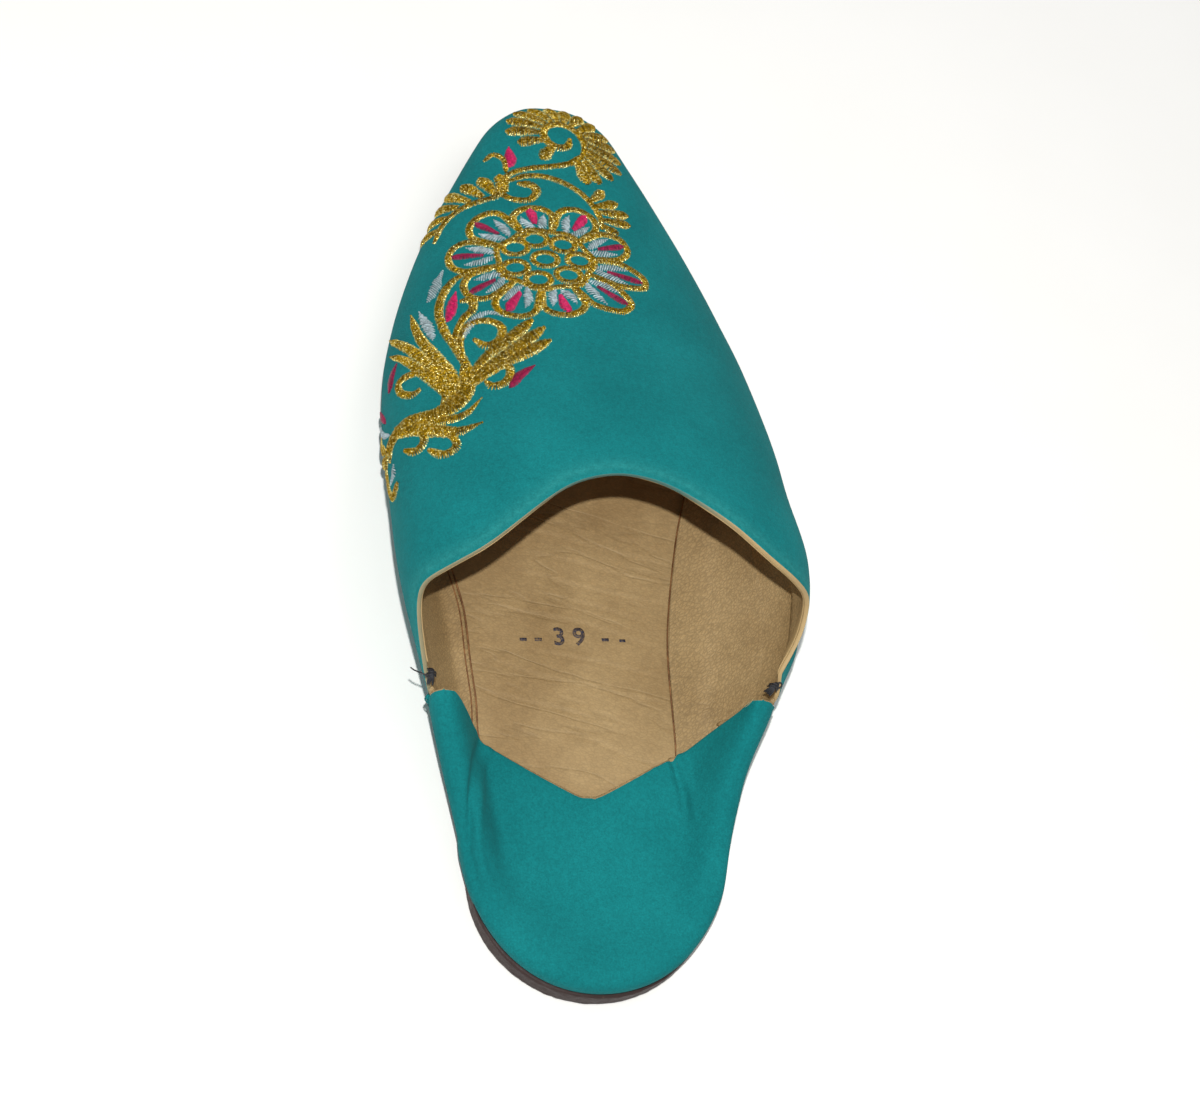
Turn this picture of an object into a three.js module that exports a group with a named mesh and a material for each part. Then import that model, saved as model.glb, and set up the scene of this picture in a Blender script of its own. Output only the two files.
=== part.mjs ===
// Babouche slipper: a backless pointed slipper whose heel quarter is folded down over the insole.
// Frame: millimetres, +Y to the toe, +X to the wearer's right, +Z up, sole flat on Z = 0.
// While the pieces are shaped, Y counts from the back of the heel; the last step centres it.
import * as THREE from 'three';

// ---------------------------------------------------------------- driving dimensions
const LENGTH = 278;             // outsole, heel to toe
const HEEL_HALF = 34;           // half width of the outsole across the heel
const HEEL_ROUND = 33;          // depth of the half ellipse that rounds the heel
const WAIST_HALF = 36.5;        // half width under the arch
const WAIST_Y = 88;
const BALL_HALF = 49;           // half width across the ball
const BALL_Y = 178;
const TOE_OVERRUN = 13;         // the toe's sides aim this far past the tip
const TOE_CAP = 14;             // length of the round cap on the pointed toe
const TOE_SPRING = 7;           // height of the tip's underside above the floor
const SPRING_START = 196;
const HEEL_SOLE = 6.6;          // outsole thickness at the heel
const FORE_SOLE = 4.6;          // outsole thickness at the forefoot
const ARCH_LIFT = 1.2;          // the underside clears the floor this much at the waist
const HEEL_SEAT_END = 60;       // flat spot under the heel ends here
const FOREFOOT_START = 122;     // flat spot under the forefoot starts here
const INSOLE_THICKNESS = 1.6;
const LEATHER = 2;              // suede and lining together
const GAP = 0.3;                // clearance between pieces that meet
const FEATHER = 1;              // the upper stands this far inside the outsole's edge
const SEAM_Y = 78.5;            // the side seams, where the upper ends and the quarter starts

// Half sections of the upper. ridge: height of the centre line. flare and rise: the lower handle,
// measured from the feather edge. shoulder: half width of the upper handle at ridge height.
const UPPER_SECTIONS = [
  { y: 78, ridge: 73, flare: 29, rise: 30, shoulder: 46 },
  { y: 106, ridge: 70.5, flare: 37, rise: 37, shoulder: 56 },
  { y: 139, ridge: 63, flare: 31, rise: 32, shoulder: 50 },
  { y: 183, ridge: 48, flare: 19, rise: 20, shoulder: 38 },
  { y: 228, ridge: 35, flare: 13, rise: 13, shoulder: 25 },
  { y: 258, ridge: 27.5, flare: 7, rise: 11, shoulder: 17 },
  { y: 278, ridge: 23, flare: 4, rise: 10, shoulder: 12 },
];
const TOE_ROUND_Y = 262;        // from here the sections shrink to the round tip

// The collar and the side seams: how far back the upper reaches, by its place across the shoe
// (across: 0 on the centre line, 1 at the feather edge).
const COLLAR = [
  { across: -0.1, y: 123.5 },
  { across: 0, y: 127.5 },
  { across: 0.1, y: 123.5 },
  { across: 0.18, y: 114.5 },
  { across: 0.3, y: 104.5 },
  { across: 0.42, y: 101 },
  { across: 0.53, y: 99.6 },
  { across: 0.6, y: 95 },
  { across: 0.69, y: 85 },
  { across: 0.76, y: 79.2 },
  { across: 0.82, y: 78.6 },
  { across: 1, y: 78.5 },
];

// The heel quarter's outer wall and roll, from the back of the heel (around: 0) to the side seam
// (around: 1). crest: height of the roll. lean: how far the wall bulges past its foot.
// roll: how far in from the bulge the crest lies. fall: how far in the roll has come down.
const QUARTER_PROFILES = [
  { around: 0, crest: 13.6, lean: 0.8, roll: 4.6, fall: 17 },
  { around: 0.3, crest: 13.8, lean: 1.2, roll: 4.6, fall: 16 },
  { around: 0.55, crest: 16, lean: 4.4, roll: 4.4, fall: 13 },
  { around: 0.8, crest: 22.5, lean: 8.6, roll: 4, fall: 14 },
  { around: 1, crest: 32.4, lean: 12, roll: 3, fall: 20 },
];
const FLAP_CORNER = { around: 0.86, x: 29, y: 70.5 };   // where the flap's free edge leaves the insole
const FLAP_POINT_Y = 55;        // the notch in the middle of the flap's free edge
const FLAP_POINT_ROUND = 1.4;   // the notch is rounded by this much
const FLAP_POINT_SHARE = 0.12;  // share of the notch's slope that is rounded
const SEAM_TURN = 3.2;          // width of the flap that is left at the side seam
const WALL_BULGE = { low: 1.15, high: 1.25, share: 0.42 };    // handles of the wall, in units of lean
const ROLL_HANDLE = 7;          // how far the flap leaves the roll straight inwards

// ---------------------------------------------------------------- curves
const clamp01 = (t) => Math.min(1, Math.max(0, t));
const lerp = THREE.MathUtils.lerp;
const smooth = (from, to, t) => {
  const k = clamp01((t - from) / (to - from));
  return k * k * (3 - 2 * k);
};

// A smooth curve through one column of a table, without overshoot.
function column(rows, key, value) {
  const slopes = rows.slice(1).map((row, i) => (row[value] - rows[i][value]) / (row[key] - rows[i][key]));
  const tangents = rows.map((row, i) => {
    if (i === 0) return slopes[0];
    if (i === rows.length - 1) return slopes[i - 1];
    const before = slopes[i - 1];
    const after = slopes[i];
    return before * after <= 0 ? 0 : (2 * before * after) / (before + after);
  });
  return (at) => {
    const last = rows.length - 2;
    const next = rows.findIndex((row) => row[key] > at);
    const i = next < 0 ? last : Math.min(last, Math.max(0, next - 1));
    const step = rows[i + 1][key] - rows[i][key];
    const t = clamp01((at - rows[i][key]) / step);
    const t2 = t * t;
    const t3 = t2 * t;
    return (2 * t3 - 3 * t2 + 1) * rows[i][value] + (t3 - 2 * t2 + t) * step * tangents[i]
      + (3 * t2 - 2 * t3) * rows[i + 1][value] + (t3 - t2) * step * tangents[i + 1];
  };
}

// ---------------------------------------------------------------- sole shape
function halfWidth(y) {
  if (y < HEEL_ROUND) return HEEL_HALF * Math.sqrt(Math.max(0, 1 - ((HEEL_ROUND - y) / HEEL_ROUND) ** 2));
  if (y < WAIST_Y) return lerp(HEEL_HALF, WAIST_HALF, smooth(HEEL_ROUND, WAIST_Y, y));
  if (y < BALL_Y) return lerp(WAIST_HALF, BALL_HALF, smooth(WAIST_Y, BALL_Y, y));
  const along = (y - BALL_Y) / (LENGTH + TOE_OVERRUN - BALL_Y);
  const side = BALL_HALF * (1 - along ** 1.5) ** 0.87;
  const cap = clamp01((y - (LENGTH - TOE_CAP)) / TOE_CAP);
  return side * Math.sqrt(Math.max(0, 1 - cap * cap));
}

const OUTLINE_STEPS = 400;
const outlineY = (s) => LENGTH * (1 - Math.cos(Math.PI * s)) / 2;

// The right edge of the sole moved inwards, as points from heel to toe.
function insetOutline(inset) {
  const points = [];
  for (let i = 0; i <= OUTLINE_STEPS; i += 1) {
    const y = outlineY(i / OUTLINE_STEPS);
    const before = outlineY(Math.max(0, i - 0.5) / OUTLINE_STEPS);
    const after = outlineY(Math.min(OUTLINE_STEPS, i + 0.5) / OUTLINE_STEPS);
    const normal = new THREE.Vector2(after - before, halfWidth(before) - halfWidth(after)).normalize();
    if (i === 0) normal.set(0, -1);
    if (i === OUTLINE_STEPS) normal.set(0, 1);
    points.push(new THREE.Vector2(halfWidth(y) - normal.x * inset, y - normal.y * inset));
  }
  return points;
}

// Half width of the inset outline at y.
function insetWidth(inset) {
  const points = insetOutline(inset).filter((point, i, all) => i === 0 || point.y > all[i - 1].y);
  return (y) => {
    const next = points.findIndex((point) => point.y > y);
    if (next < 0) return 0;
    if (next === 0) return Math.max(0, points[0].x);
    const from = points[next - 1];
    const to = points[next];
    return Math.max(0, lerp(from.x, to.x, (y - from.y) / (to.y - from.y)));
  };
}

const spring = (y) => TOE_SPRING * clamp01((y - SPRING_START) / (LENGTH - SPRING_START)) ** 2;
const arch = (y) => ARCH_LIFT * smooth(HEEL_SEAT_END, WAIST_Y, y) * (1 - smooth(WAIST_Y, FOREFOOT_START, y));
const soleBottom = (y) => spring(y) + arch(y);
const soleTop = (y) => spring(y) + lerp(HEEL_SOLE, FORE_SOLE, smooth(HEEL_SEAT_END, FOREFOOT_START, y));
const insoleTop = (y) => soleTop(y) + GAP + INSOLE_THICKNESS;

// ---------------------------------------------------------------- closed meshes
// front and back are grids of points of the same size; front faces out, and their rims are joined.
function closedMesh(name, front, back, material) {
  const positions = [];
  const indices = [];
  const known = new Map();
  const vertex = (point) => {
    const key = point.toArray().map((value) => Math.round(value * 1e4)).join(' ');
    if (!known.has(key)) {
      known.set(key, known.size);
      positions.push(point.x, point.y - LENGTH / 2, point.z);
    }
    return known.get(key);
  };
  const triangle = (a, b, c) => {
    const corners = [vertex(a), vertex(b), vertex(c)];
    if (new Set(corners).size === 3) indices.push(...corners);
  };
  const quad = (a, b, c, d) => {
    triangle(a, b, c);
    triangle(a, c, d);
  };
  const rows = front.length - 1;
  const columns = front[0].length - 1;
  for (let i = 0; i < rows; i += 1) {
    for (let j = 0; j < columns; j += 1) {
      quad(front[i][j], front[i][j + 1], front[i + 1][j + 1], front[i + 1][j]);
      quad(back[i][j], back[i + 1][j], back[i + 1][j + 1], back[i][j + 1]);
    }
    quad(front[i][0], front[i + 1][0], back[i + 1][0], back[i][0]);
    quad(front[i][columns], back[i][columns], back[i + 1][columns], front[i + 1][columns]);
  }
  for (let j = 0; j < columns; j += 1) {
    quad(front[0][j], back[0][j], back[0][j + 1], front[0][j + 1]);
    quad(front[rows][j], front[rows][j + 1], back[rows][j + 1], back[rows][j]);
  }
  const geometry = new THREE.BufferGeometry();
  geometry.setAttribute('position', new THREE.Float32BufferAttribute(positions, 3));
  geometry.setIndex(indices);
  geometry.computeVertexNormals();
  const mesh = new THREE.Mesh(geometry, material);
  mesh.name = name;
  return mesh;
}

const steps = (count) => Array.from({ length: count + 1 }, (_, i) => i / count);

// A plate with the sole's outline. Each edge row is { inset, height(y) }, from the underside up.
function solePlate(name, edges, rows, material) {
  const rims = edges.map((edge) => insetOutline(edge.inset));
  const across = steps(4).map((t) => 2 * t - 1);
  const front = [];
  const back = [];
  steps(rows).forEach((s) => {
    const at = Math.round(s * OUTLINE_STEPS);
    const rim = (level, side) => {
      const point = rims[level][at];
      const x = at === 0 || at === OUTLINE_STEPS ? 0 : Math.max(0, point.x);
      return new THREE.Vector3(side * x, point.y, edges[level].height(point.y));
    };
    const last = edges.length - 1;
    const left = edges.slice(0, last).map((_, level) => rim(level, -1));
    const right = edges.slice(0, last).map((_, level) => rim(level, 1)).reverse();
    const top = across.map((side) => rim(last, side));
    const bottom = across.map((side) => rim(0, side));
    front.push([...left, ...top, ...right]);
    back.push([...left.map(() => bottom[0]), ...bottom, ...right.map(() => bottom[4])]);
  });
  return closedMesh(name, front, back, material);
}

// ---------------------------------------------------------------- upper
const ridgeAt = column(UPPER_SECTIONS, 'y', 'ridge');
const flareAt = column(UPPER_SECTIONS, 'y', 'flare');
const riseAt = column(UPPER_SECTIONS, 'y', 'rise');
const shoulderAt = column(UPPER_SECTIONS, 'y', 'shoulder');
const collarAt = column(COLLAR, 'across', 'y');

const SHOULDER_SHARE = 0.55;    // share of the wall taken off both handles at the shoulder

// The handles of a right half section, feather edge first; skin is the depth below the outer face.
function sectionHandles(y, skin, width) {
  const end = LENGTH - FEATHER - skin;
  const round = Math.sqrt(Math.max(0, 1 - clamp01((y - TOE_ROUND_Y) / (end - TOE_ROUND_Y)) ** 2));
  const foot = soleTop(y) + GAP;
  const height = Math.max(0, ridgeAt(y) - foot - skin) * round;
  const edge = width(y);
  const rise = Math.max(0, riseAt(y) - SHOULDER_SHARE * skin) * round;
  const shoulder = Math.max(0, shoulderAt(y) - SHOULDER_SHARE * skin) * round;
  return [
    new THREE.Vector2(edge, foot),
    new THREE.Vector2(edge + flareAt(y) * round, foot + rise),
    new THREE.Vector2(shoulder, foot + height),
    new THREE.Vector2(0, foot + height),
  ];
}

// A point of the upper; across runs from -1 at the left feather edge over the ridge to 1.
function upperPoint(y, across, skin, width) {
  const handles = sectionHandles(y, skin, width);
  const point = new THREE.CubicBezierCurve(...handles).getPoint(1 - Math.abs(across));
  return new THREE.Vector3(Math.sign(across) * point.x, y, point.y);
}

const UPPER_ROWS = 26;
const UPPER_COLUMNS = 40;

function upperSkin(skin) {
  const width = insetWidth(FEATHER + skin);
  const end = LENGTH - FEATHER - skin;
  return steps(UPPER_ROWS).map((u) => steps(UPPER_COLUMNS).map((v) => {
    const across = 2 * v - 1;
    const y = lerp(collarAt(Math.abs(across)), end, Math.sin(u * Math.PI / 2));
    return upperPoint(y, across, skin, width);
  }));
}

// ---------------------------------------------------------------- heel quarter
const crestAt = column(QUARTER_PROFILES, 'around', 'crest');
const leanAt = column(QUARTER_PROFILES, 'around', 'lean');
const rollAt = column(QUARTER_PROFILES, 'around', 'roll');
const fallAt = column(QUARTER_PROFILES, 'around', 'fall');

// The foot of the quarter's wall, on the right, from the back of the heel to the side seam.
const quarterFoot = insetOutline(FEATHER).filter((point) => point.y < SEAM_Y - GAP);
const footLengths = quarterFoot.map((point, i) => (i ? point.distanceTo(quarterFoot[i - 1]) : 0));
const footRun = footLengths.map((_, i) => footLengths.slice(0, i + 1).reduce((sum, piece) => sum + piece, 0));
const FOOT_LENGTH = footRun[footRun.length - 1];

function quarterFootAt(around) {
  const run = around * FOOT_LENGTH;
  const next = Math.max(1, footRun.findIndex((length) => length >= run - 1e-6));
  const from = quarterFoot[next - 1];
  const to = quarterFoot[next];
  return from.clone().lerp(to, (run - footRun[next - 1]) / (footRun[next] - footRun[next - 1]));
}

// The way out from the foot of the wall: radial on the round heel, sideways along the waist.
function outward(point) {
  const back = Math.max(0, HEEL_ROUND - point.y);
  const turn = new THREE.Vector2(point.x / HEEL_HALF ** 2, -back / HEEL_ROUND ** 2);
  return turn.normalize();
}

// The flap's free edge in plan: from the notch to the corner, then up to the side seam.
function freeEdge(around, seam) {
  const corner = new THREE.Vector2(FLAP_CORNER.x, FLAP_CORNER.y);
  if (around < FLAP_CORNER.around) {
    const t = around / FLAP_CORNER.around;
    const notch = new THREE.Vector2(0, FLAP_POINT_Y);
    const edge = notch.lerp(corner, t);
    edge.y += FLAP_POINT_ROUND * (1 - clamp01(t / FLAP_POINT_SHARE)) ** 2;
    return edge;
  }
  const t = (around - FLAP_CORNER.around) / (1 - FLAP_CORNER.around);
  const bend = new THREE.Vector2(lerp(corner.x, seam.x, 0.4), lerp(corner.y, seam.y, 0.75));
  return new THREE.QuadraticBezierCurve(corner, bend, seam).getPoint(t);
}

// One profile of the quarter on the right: up the wall, over the roll and down to the free edge.
function quarterProfile(around, wallSteps, flapSteps) {
  const foot = quarterFootAt(around);
  const out = outward(foot);
  const base = soleTop(foot.y) + GAP;
  const crest = crestAt(around);
  const lean = leanAt(around);
  const inward = (point, distance) => point.clone().addScaledVector(out, -distance);
  const top = inward(foot, rollAt(around) - lean);
  const points = [];
  const wall = new THREE.CubicBezierCurve(
    new THREE.Vector2(0, base),
    new THREE.Vector2(-lean * WALL_BULGE.low, lerp(base, crest, WALL_BULGE.share)),
    new THREE.Vector2(-lean * WALL_BULGE.high, crest),
    new THREE.Vector2(rollAt(around) - lean, crest),
  );
  steps(wallSteps).forEach((t) => {
    const point = wall.getPoint(t);
    const plan = inward(foot, point.x);
    points.push(new THREE.Vector3(plan.x, plan.y, point.y));
  });
  const seam = inward(quarterFootAt(1), rollAt(1) - leanAt(1) + SEAM_TURN);
  const edge = freeEdge(around, seam);
  const reach = top.distanceTo(edge);
  const plan = new THREE.CubicBezierCurve(
    top,
    inward(top, Math.min(ROLL_HANDLE, reach * 0.3)),
    edge.clone().lerp(top, 0.35),
    edge,
  );
  steps(flapSteps).slice(1).forEach((t) => {
    const point = plan.getPoint(t ** 1.25);
    const flat = insoleTop(point.y) + GAP + LEATHER;
    const done = clamp01(point.distanceTo(top) / fallAt(around));
    const z = lerp(flat, crest, (1 + Math.cos(Math.PI * done)) / 2);
    points.push(new THREE.Vector3(point.x, point.y, z));
  });
  return points;
}

const QUARTER_COLUMNS = 24;     // from the back of the heel to each side seam
const WALL_STEPS = 8;
const FLAP_STEPS = 11;

function quarterSkins() {
  const right = steps(QUARTER_COLUMNS).map((t) => quarterProfile(t, WALL_STEPS, FLAP_STEPS));
  const mirror = (point) => new THREE.Vector3(-point.x, point.y, point.z);
  const left = right.slice(1).reverse().map((profile) => profile.map(mirror));
  const outer = [...left, ...right];
  const inner = outer.map((profile, i) => profile.map((point, j) => {
    const before = outer[Math.max(0, i - 1)][j];
    const after = outer[Math.min(outer.length - 1, i + 1)][j];
    const lower = profile[Math.max(0, j - 1)];
    const upper = profile[Math.min(profile.length - 1, j + 1)];
    const around = after.clone().sub(before);
    const up = upper.clone().sub(lower);
    const normal = around.cross(up).normalize();
    if (j === 0) normal.setZ(0).normalize();
    if (i === 0 || i === outer.length - 1) normal.setY(0).normalize();
    return point.clone().addScaledVector(normal, -LEATHER);
  }));
  return { outer: outer.reverse(), inner: inner.reverse() };
}

// ---------------------------------------------------------------- materials and assembly
const leather = (color, roughness) => new THREE.MeshStandardMaterial({ color, roughness, metalness: 0 });
const suede = leather(0x17807a, 0.95);
const tanLeather = leather(0xae9770, 0.7);
const soleLeather = leather(0x4a3634, 0.6);

const INSOLE_INSET = FEATHER + LEATHER + 4 * GAP;

const outsole = solePlate('outsole', [
  { inset: 0.9, height: soleBottom },
  { inset: 0, height: (y) => soleBottom(y) + 1 },
  { inset: 0, height: (y) => soleTop(y) - 0.6 },
  { inset: 0.5, height: soleTop },
], 50, soleLeather);

const insole = solePlate('insole', [
  { inset: INSOLE_INSET, height: (y) => soleTop(y) + GAP },
  { inset: INSOLE_INSET, height: insoleTop },
], 50, tanLeather);

const upper = closedMesh('upper', upperSkin(0), upperSkin(LEATHER), suede);

const quarter = quarterSkins();
const heelQuarter = closedMesh('heel_quarter', quarter.outer, quarter.inner, suede);

const slipper = new THREE.Group();
slipper.add(outsole, insole, upper, heelQuarter);

export default slipper;
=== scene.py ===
import math
import random

import bmesh
import bpy
import numpy as np
from bpy.props import FloatProperty, FloatVectorProperty, IntProperty, PointerProperty
from mathutils import Matrix, Vector, noise
from mathutils.bvhtree import BVHTree


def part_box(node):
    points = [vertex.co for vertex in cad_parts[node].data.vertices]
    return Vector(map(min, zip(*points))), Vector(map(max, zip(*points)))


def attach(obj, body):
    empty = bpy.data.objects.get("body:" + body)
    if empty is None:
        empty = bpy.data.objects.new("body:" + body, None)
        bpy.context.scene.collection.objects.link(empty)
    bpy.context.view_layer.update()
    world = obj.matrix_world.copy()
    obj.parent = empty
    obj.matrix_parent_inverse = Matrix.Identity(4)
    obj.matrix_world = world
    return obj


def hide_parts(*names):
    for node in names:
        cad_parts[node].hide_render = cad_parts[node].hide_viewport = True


bl_info = {
    "name": "Babouche slipper",
    "version": (1, 0, 0),
    "blender": (4, 5, 0),
    "location": "3D View > Sidebar > Slipper",
    "description": "Dresses the packed slipper in suede, lining, edge binding and gold embroidery",
    "category": "Object",
}

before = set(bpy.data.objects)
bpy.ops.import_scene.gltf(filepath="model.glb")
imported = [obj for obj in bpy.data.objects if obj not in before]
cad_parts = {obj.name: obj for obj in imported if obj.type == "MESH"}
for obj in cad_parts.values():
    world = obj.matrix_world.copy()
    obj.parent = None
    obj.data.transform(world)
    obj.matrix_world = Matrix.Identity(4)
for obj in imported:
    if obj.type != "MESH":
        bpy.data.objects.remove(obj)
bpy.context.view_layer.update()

MM = 0.001
BODY = "root"
HEEL_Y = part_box("outsole")[0].y
UP = Vector((0, 0, 1))


def spot(x, y, z):
    """A place in the slipper's own millimetres: x to the right, y from the back of the heel, z up."""
    return Vector((x * MM, HEEL_Y + y * MM, z * MM))


def linear(hex_colour):
    """An sRGB hex value as linear red, green and blue."""
    channels = [int(hex_colour[i:i + 2], 16) / 255 for i in (1, 3, 5)]
    return tuple(c / 12.92 if c <= 0.04045 else ((c + 0.055) / 1.055) ** 2.4 for c in channels)


def colour(hex_colour, name, description):
    """A colour that a user can change."""
    return FloatVectorProperty(
        name=name, description=description, subtype="COLOR", size=3, min=0, max=1,
        default=linear(hex_colour))


def length(value, name, description):
    """A length that a user can change, given here in millimetres."""
    return FloatProperty(
        name=name, description=description, default=value * MM, unit="LENGTH", subtype="DISTANCE",
        precision=5)


# ------------------------------------------------------------------ what a user would change
class SlipperSizes(bpy.types.PropertyGroup):
    edge_round: length(0.55, "Edge round", "Rounding of the cut and turned edges of the leather")
    suede_waver: length(0.3, "Suede waver", "How far the soft vamp wavers from its last")
    crease_depth: length(1.5, "Crease depth", "Depth of the folds beside the flap")
    hem_width: length(5.2, "Hem width", "Width of the smooth turned hem inside the collar")
    hem_rise: length(0.4, "Hem rise", "How far the hem stands off the lining")
    thread_pitch: length(0.54, "Stitch pitch", "Spacing of the satin stitches")
    thread_radius: length(0.27, "Thread radius", "Half the thickness of the embroidery thread")
    stitch_rise: length(0.5, "Stitch rise", "Height of a satin stitch at its middle")
    fine_levels: IntProperty(name="Fine levels", description="Subdivision of the leather", default=2)


class SlipperColours(bpy.types.PropertyGroup):
    suede: colour("#12787B", "Suede", "Turquoise suede")
    suede_dark: colour("#0D6D70", "Brushed suede", "Suede with its nap brushed away from the eye")
    lining: colour("#AE9469", "Lining", "Tan lining leather")
    lining_dark: colour("#947A52", "Lining grain", "Tan lining leather in its grain")
    hem: colour("#B99E6F", "Hem", "Pale turned edge of the lining")
    sole: colour("#2E1F1D", "Sole", "Dark brown sole leather")
    gold: colour("#C29C1C", "Gold thread", "Gold lurex")
    gold_dark: colour("#765C08", "Gold thread, shaded", "Gold lurex turned from the light")
    pink: colour("#C21C5C", "Pink thread", "Bright magenta rayon")
    crimson: colour("#86123E", "Crimson thread", "Deep crimson rayon")
    silver: colour("#A3B5BB", "Silver thread", "Silver white rayon")
    ink: colour("#3B3A46", "Ink", "Worn stamp ink")
    black: colour("#101014", "Black thread", "Black linen thread of the bar tacks")
    floor: colour("#F4F4F2", "Floor", "Pale studio floor")


def sizes():
    return bpy.context.scene.slipper_sizes


def colours():
    return bpy.context.scene.slipper_colours


# ------------------------------------------------------------------ materials
COLOUR_MIX = {"data_type": "RGBA", "output": 2}


def add_node(material, kind, inputs=(), output=0, stops=(), **settings):
    """Adds a node with its settings and colour stops, fills its inputs with values or links, and gives
    back one of its outputs."""
    node = material.node_tree.nodes.new("ShaderNode" + kind)
    for name, value in settings.items():
        setattr(node, name, value)
    for number, (place, value) in enumerate(stops):
        elements = node.color_ramp.elements
        element = elements[number] if number < len(elements) else elements.new(place)
        element.position = place
        element.color = (value, value, value, 1)
    for key, value in dict(inputs).items():
        socket = node.inputs[key]
        if isinstance(value, bpy.types.NodeSocket):
            material.node_tree.links.new(value, socket)
        else:
            socket.default_value = (*value, 1) if socket.type == "RGBA" else value
    return node.outputs[output] if node.outputs else None


def new_material(name):
    """An empty material, and Object coordinates for its patterns."""
    material = bpy.data.materials.new(name)
    material.use_nodes = True
    material.node_tree.nodes.clear()
    return material, add_node(material, "TexCoord", output="Object")


def surface(material, inputs, relief=()):
    """Ends a material in its shader. Relief is a row of bumps laid on one another, each a pattern with its
    depth in millimetres and its strength."""
    inputs = dict(inputs)
    for pattern, depth, strength in relief:
        bump = {"Height": pattern, "Distance": depth * MM, "Strength": strength}
        if "Normal" in inputs:
            bump["Normal"] = inputs["Normal"]
        inputs["Normal"] = add_node(material, "Bump", bump)
    shader = add_node(material, "BsdfPrincipled", inputs)
    add_node(material, "OutputMaterial", {"Surface": shader})
    return material


def per_metre(millimetres):
    """Scale of a pattern on Object coordinates whose features are this far apart."""
    return 1 / (millimetres * MM)


def blended(material, pattern, stops, first, second):
    """One colour that turns into another as the pattern rises through the stops."""
    share = add_node(material, "ValToRGB", {"Fac": pattern}, stops=stops)
    return add_node(material, "Mix", {0: share, 6: first, 7: second}, **COLOUR_MIX)


def shaded(material, tone, pattern, stops):
    """A colour that the pattern makes darker and lighter."""
    shade = add_node(material, "ValToRGB", {"Fac": pattern}, stops=stops)
    return add_node(material, "Mix", {0: 1.0, 6: tone, 7: shade}, blend_type="MULTIPLY", **COLOUR_MIX)


def suede_leather(name):
    """Goat suede, dyed and brushed: a matt, almost even nap, paler along the collar from wear and from a
    painted highlight.
    """
    c = colours()
    m, place = new_material(name)
    patches = add_node(m, "TexNoise", {"Vector": place, "Scale": per_metre(30), "Detail": 3})
    # Real tufts are about 0.5 mm and fibres 0.1 mm across. Both are drawn coarser so that they show.
    nap = add_node(m, "TexNoise", {"Vector": place, "Scale": per_metre(1.5), "Detail": 4, "Roughness": 0.6})
    fibres = add_node(m, "TexNoise", {"Vector": place, "Scale": per_metre(0.5), "Roughness": 0.6})
    tone = blended(m, patches, ((0.36, 0), (0.66, 1)), c.suede_dark, c.suede)
    # Along the collar the suede turns a paler teal: partly wear, partly a painted highlight band peaking a
    # little in from the edge.
    edges = add_node(m, "Attribute", output="Fac", attribute_name="rub")
    worn = add_node(m, "ValToRGB", {"Fac": edges}, stops=((0, 0), (0.7, 1), (1, 0.25)))
    tufts = add_node(m, "ValToRGB", {"Fac": nap}, stops=((0.3, 0.16), (0.75, 0.34)))
    rub = add_node(m, "Math", {0: worn, 1: tufts}, operation="MULTIPLY")
    tone = add_node(m, "Mix", {0: rub, 6: tone, 7: linear("#3F9A96")}, **COLOUR_MIX)
    tone = shaded(m, tone, nap, ((0.3, 0.9), (0.7, 1.07)))
    tone = shaded(m, tone, fibres, ((0.3, 0.85), (0.72, 1.13)))
    return surface(m, {
        "Base Color": tone, "Roughness": 0.95, "Specular IOR Level": 0.12,
        "Sheen Weight": 0.06, "Sheen Roughness": 0.5, "Sheen Tint": linear("#5FB8B4"),
    }, relief=[(nap, 0.2, 0.5), (fibres, 0.16, 0.8)])


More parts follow.
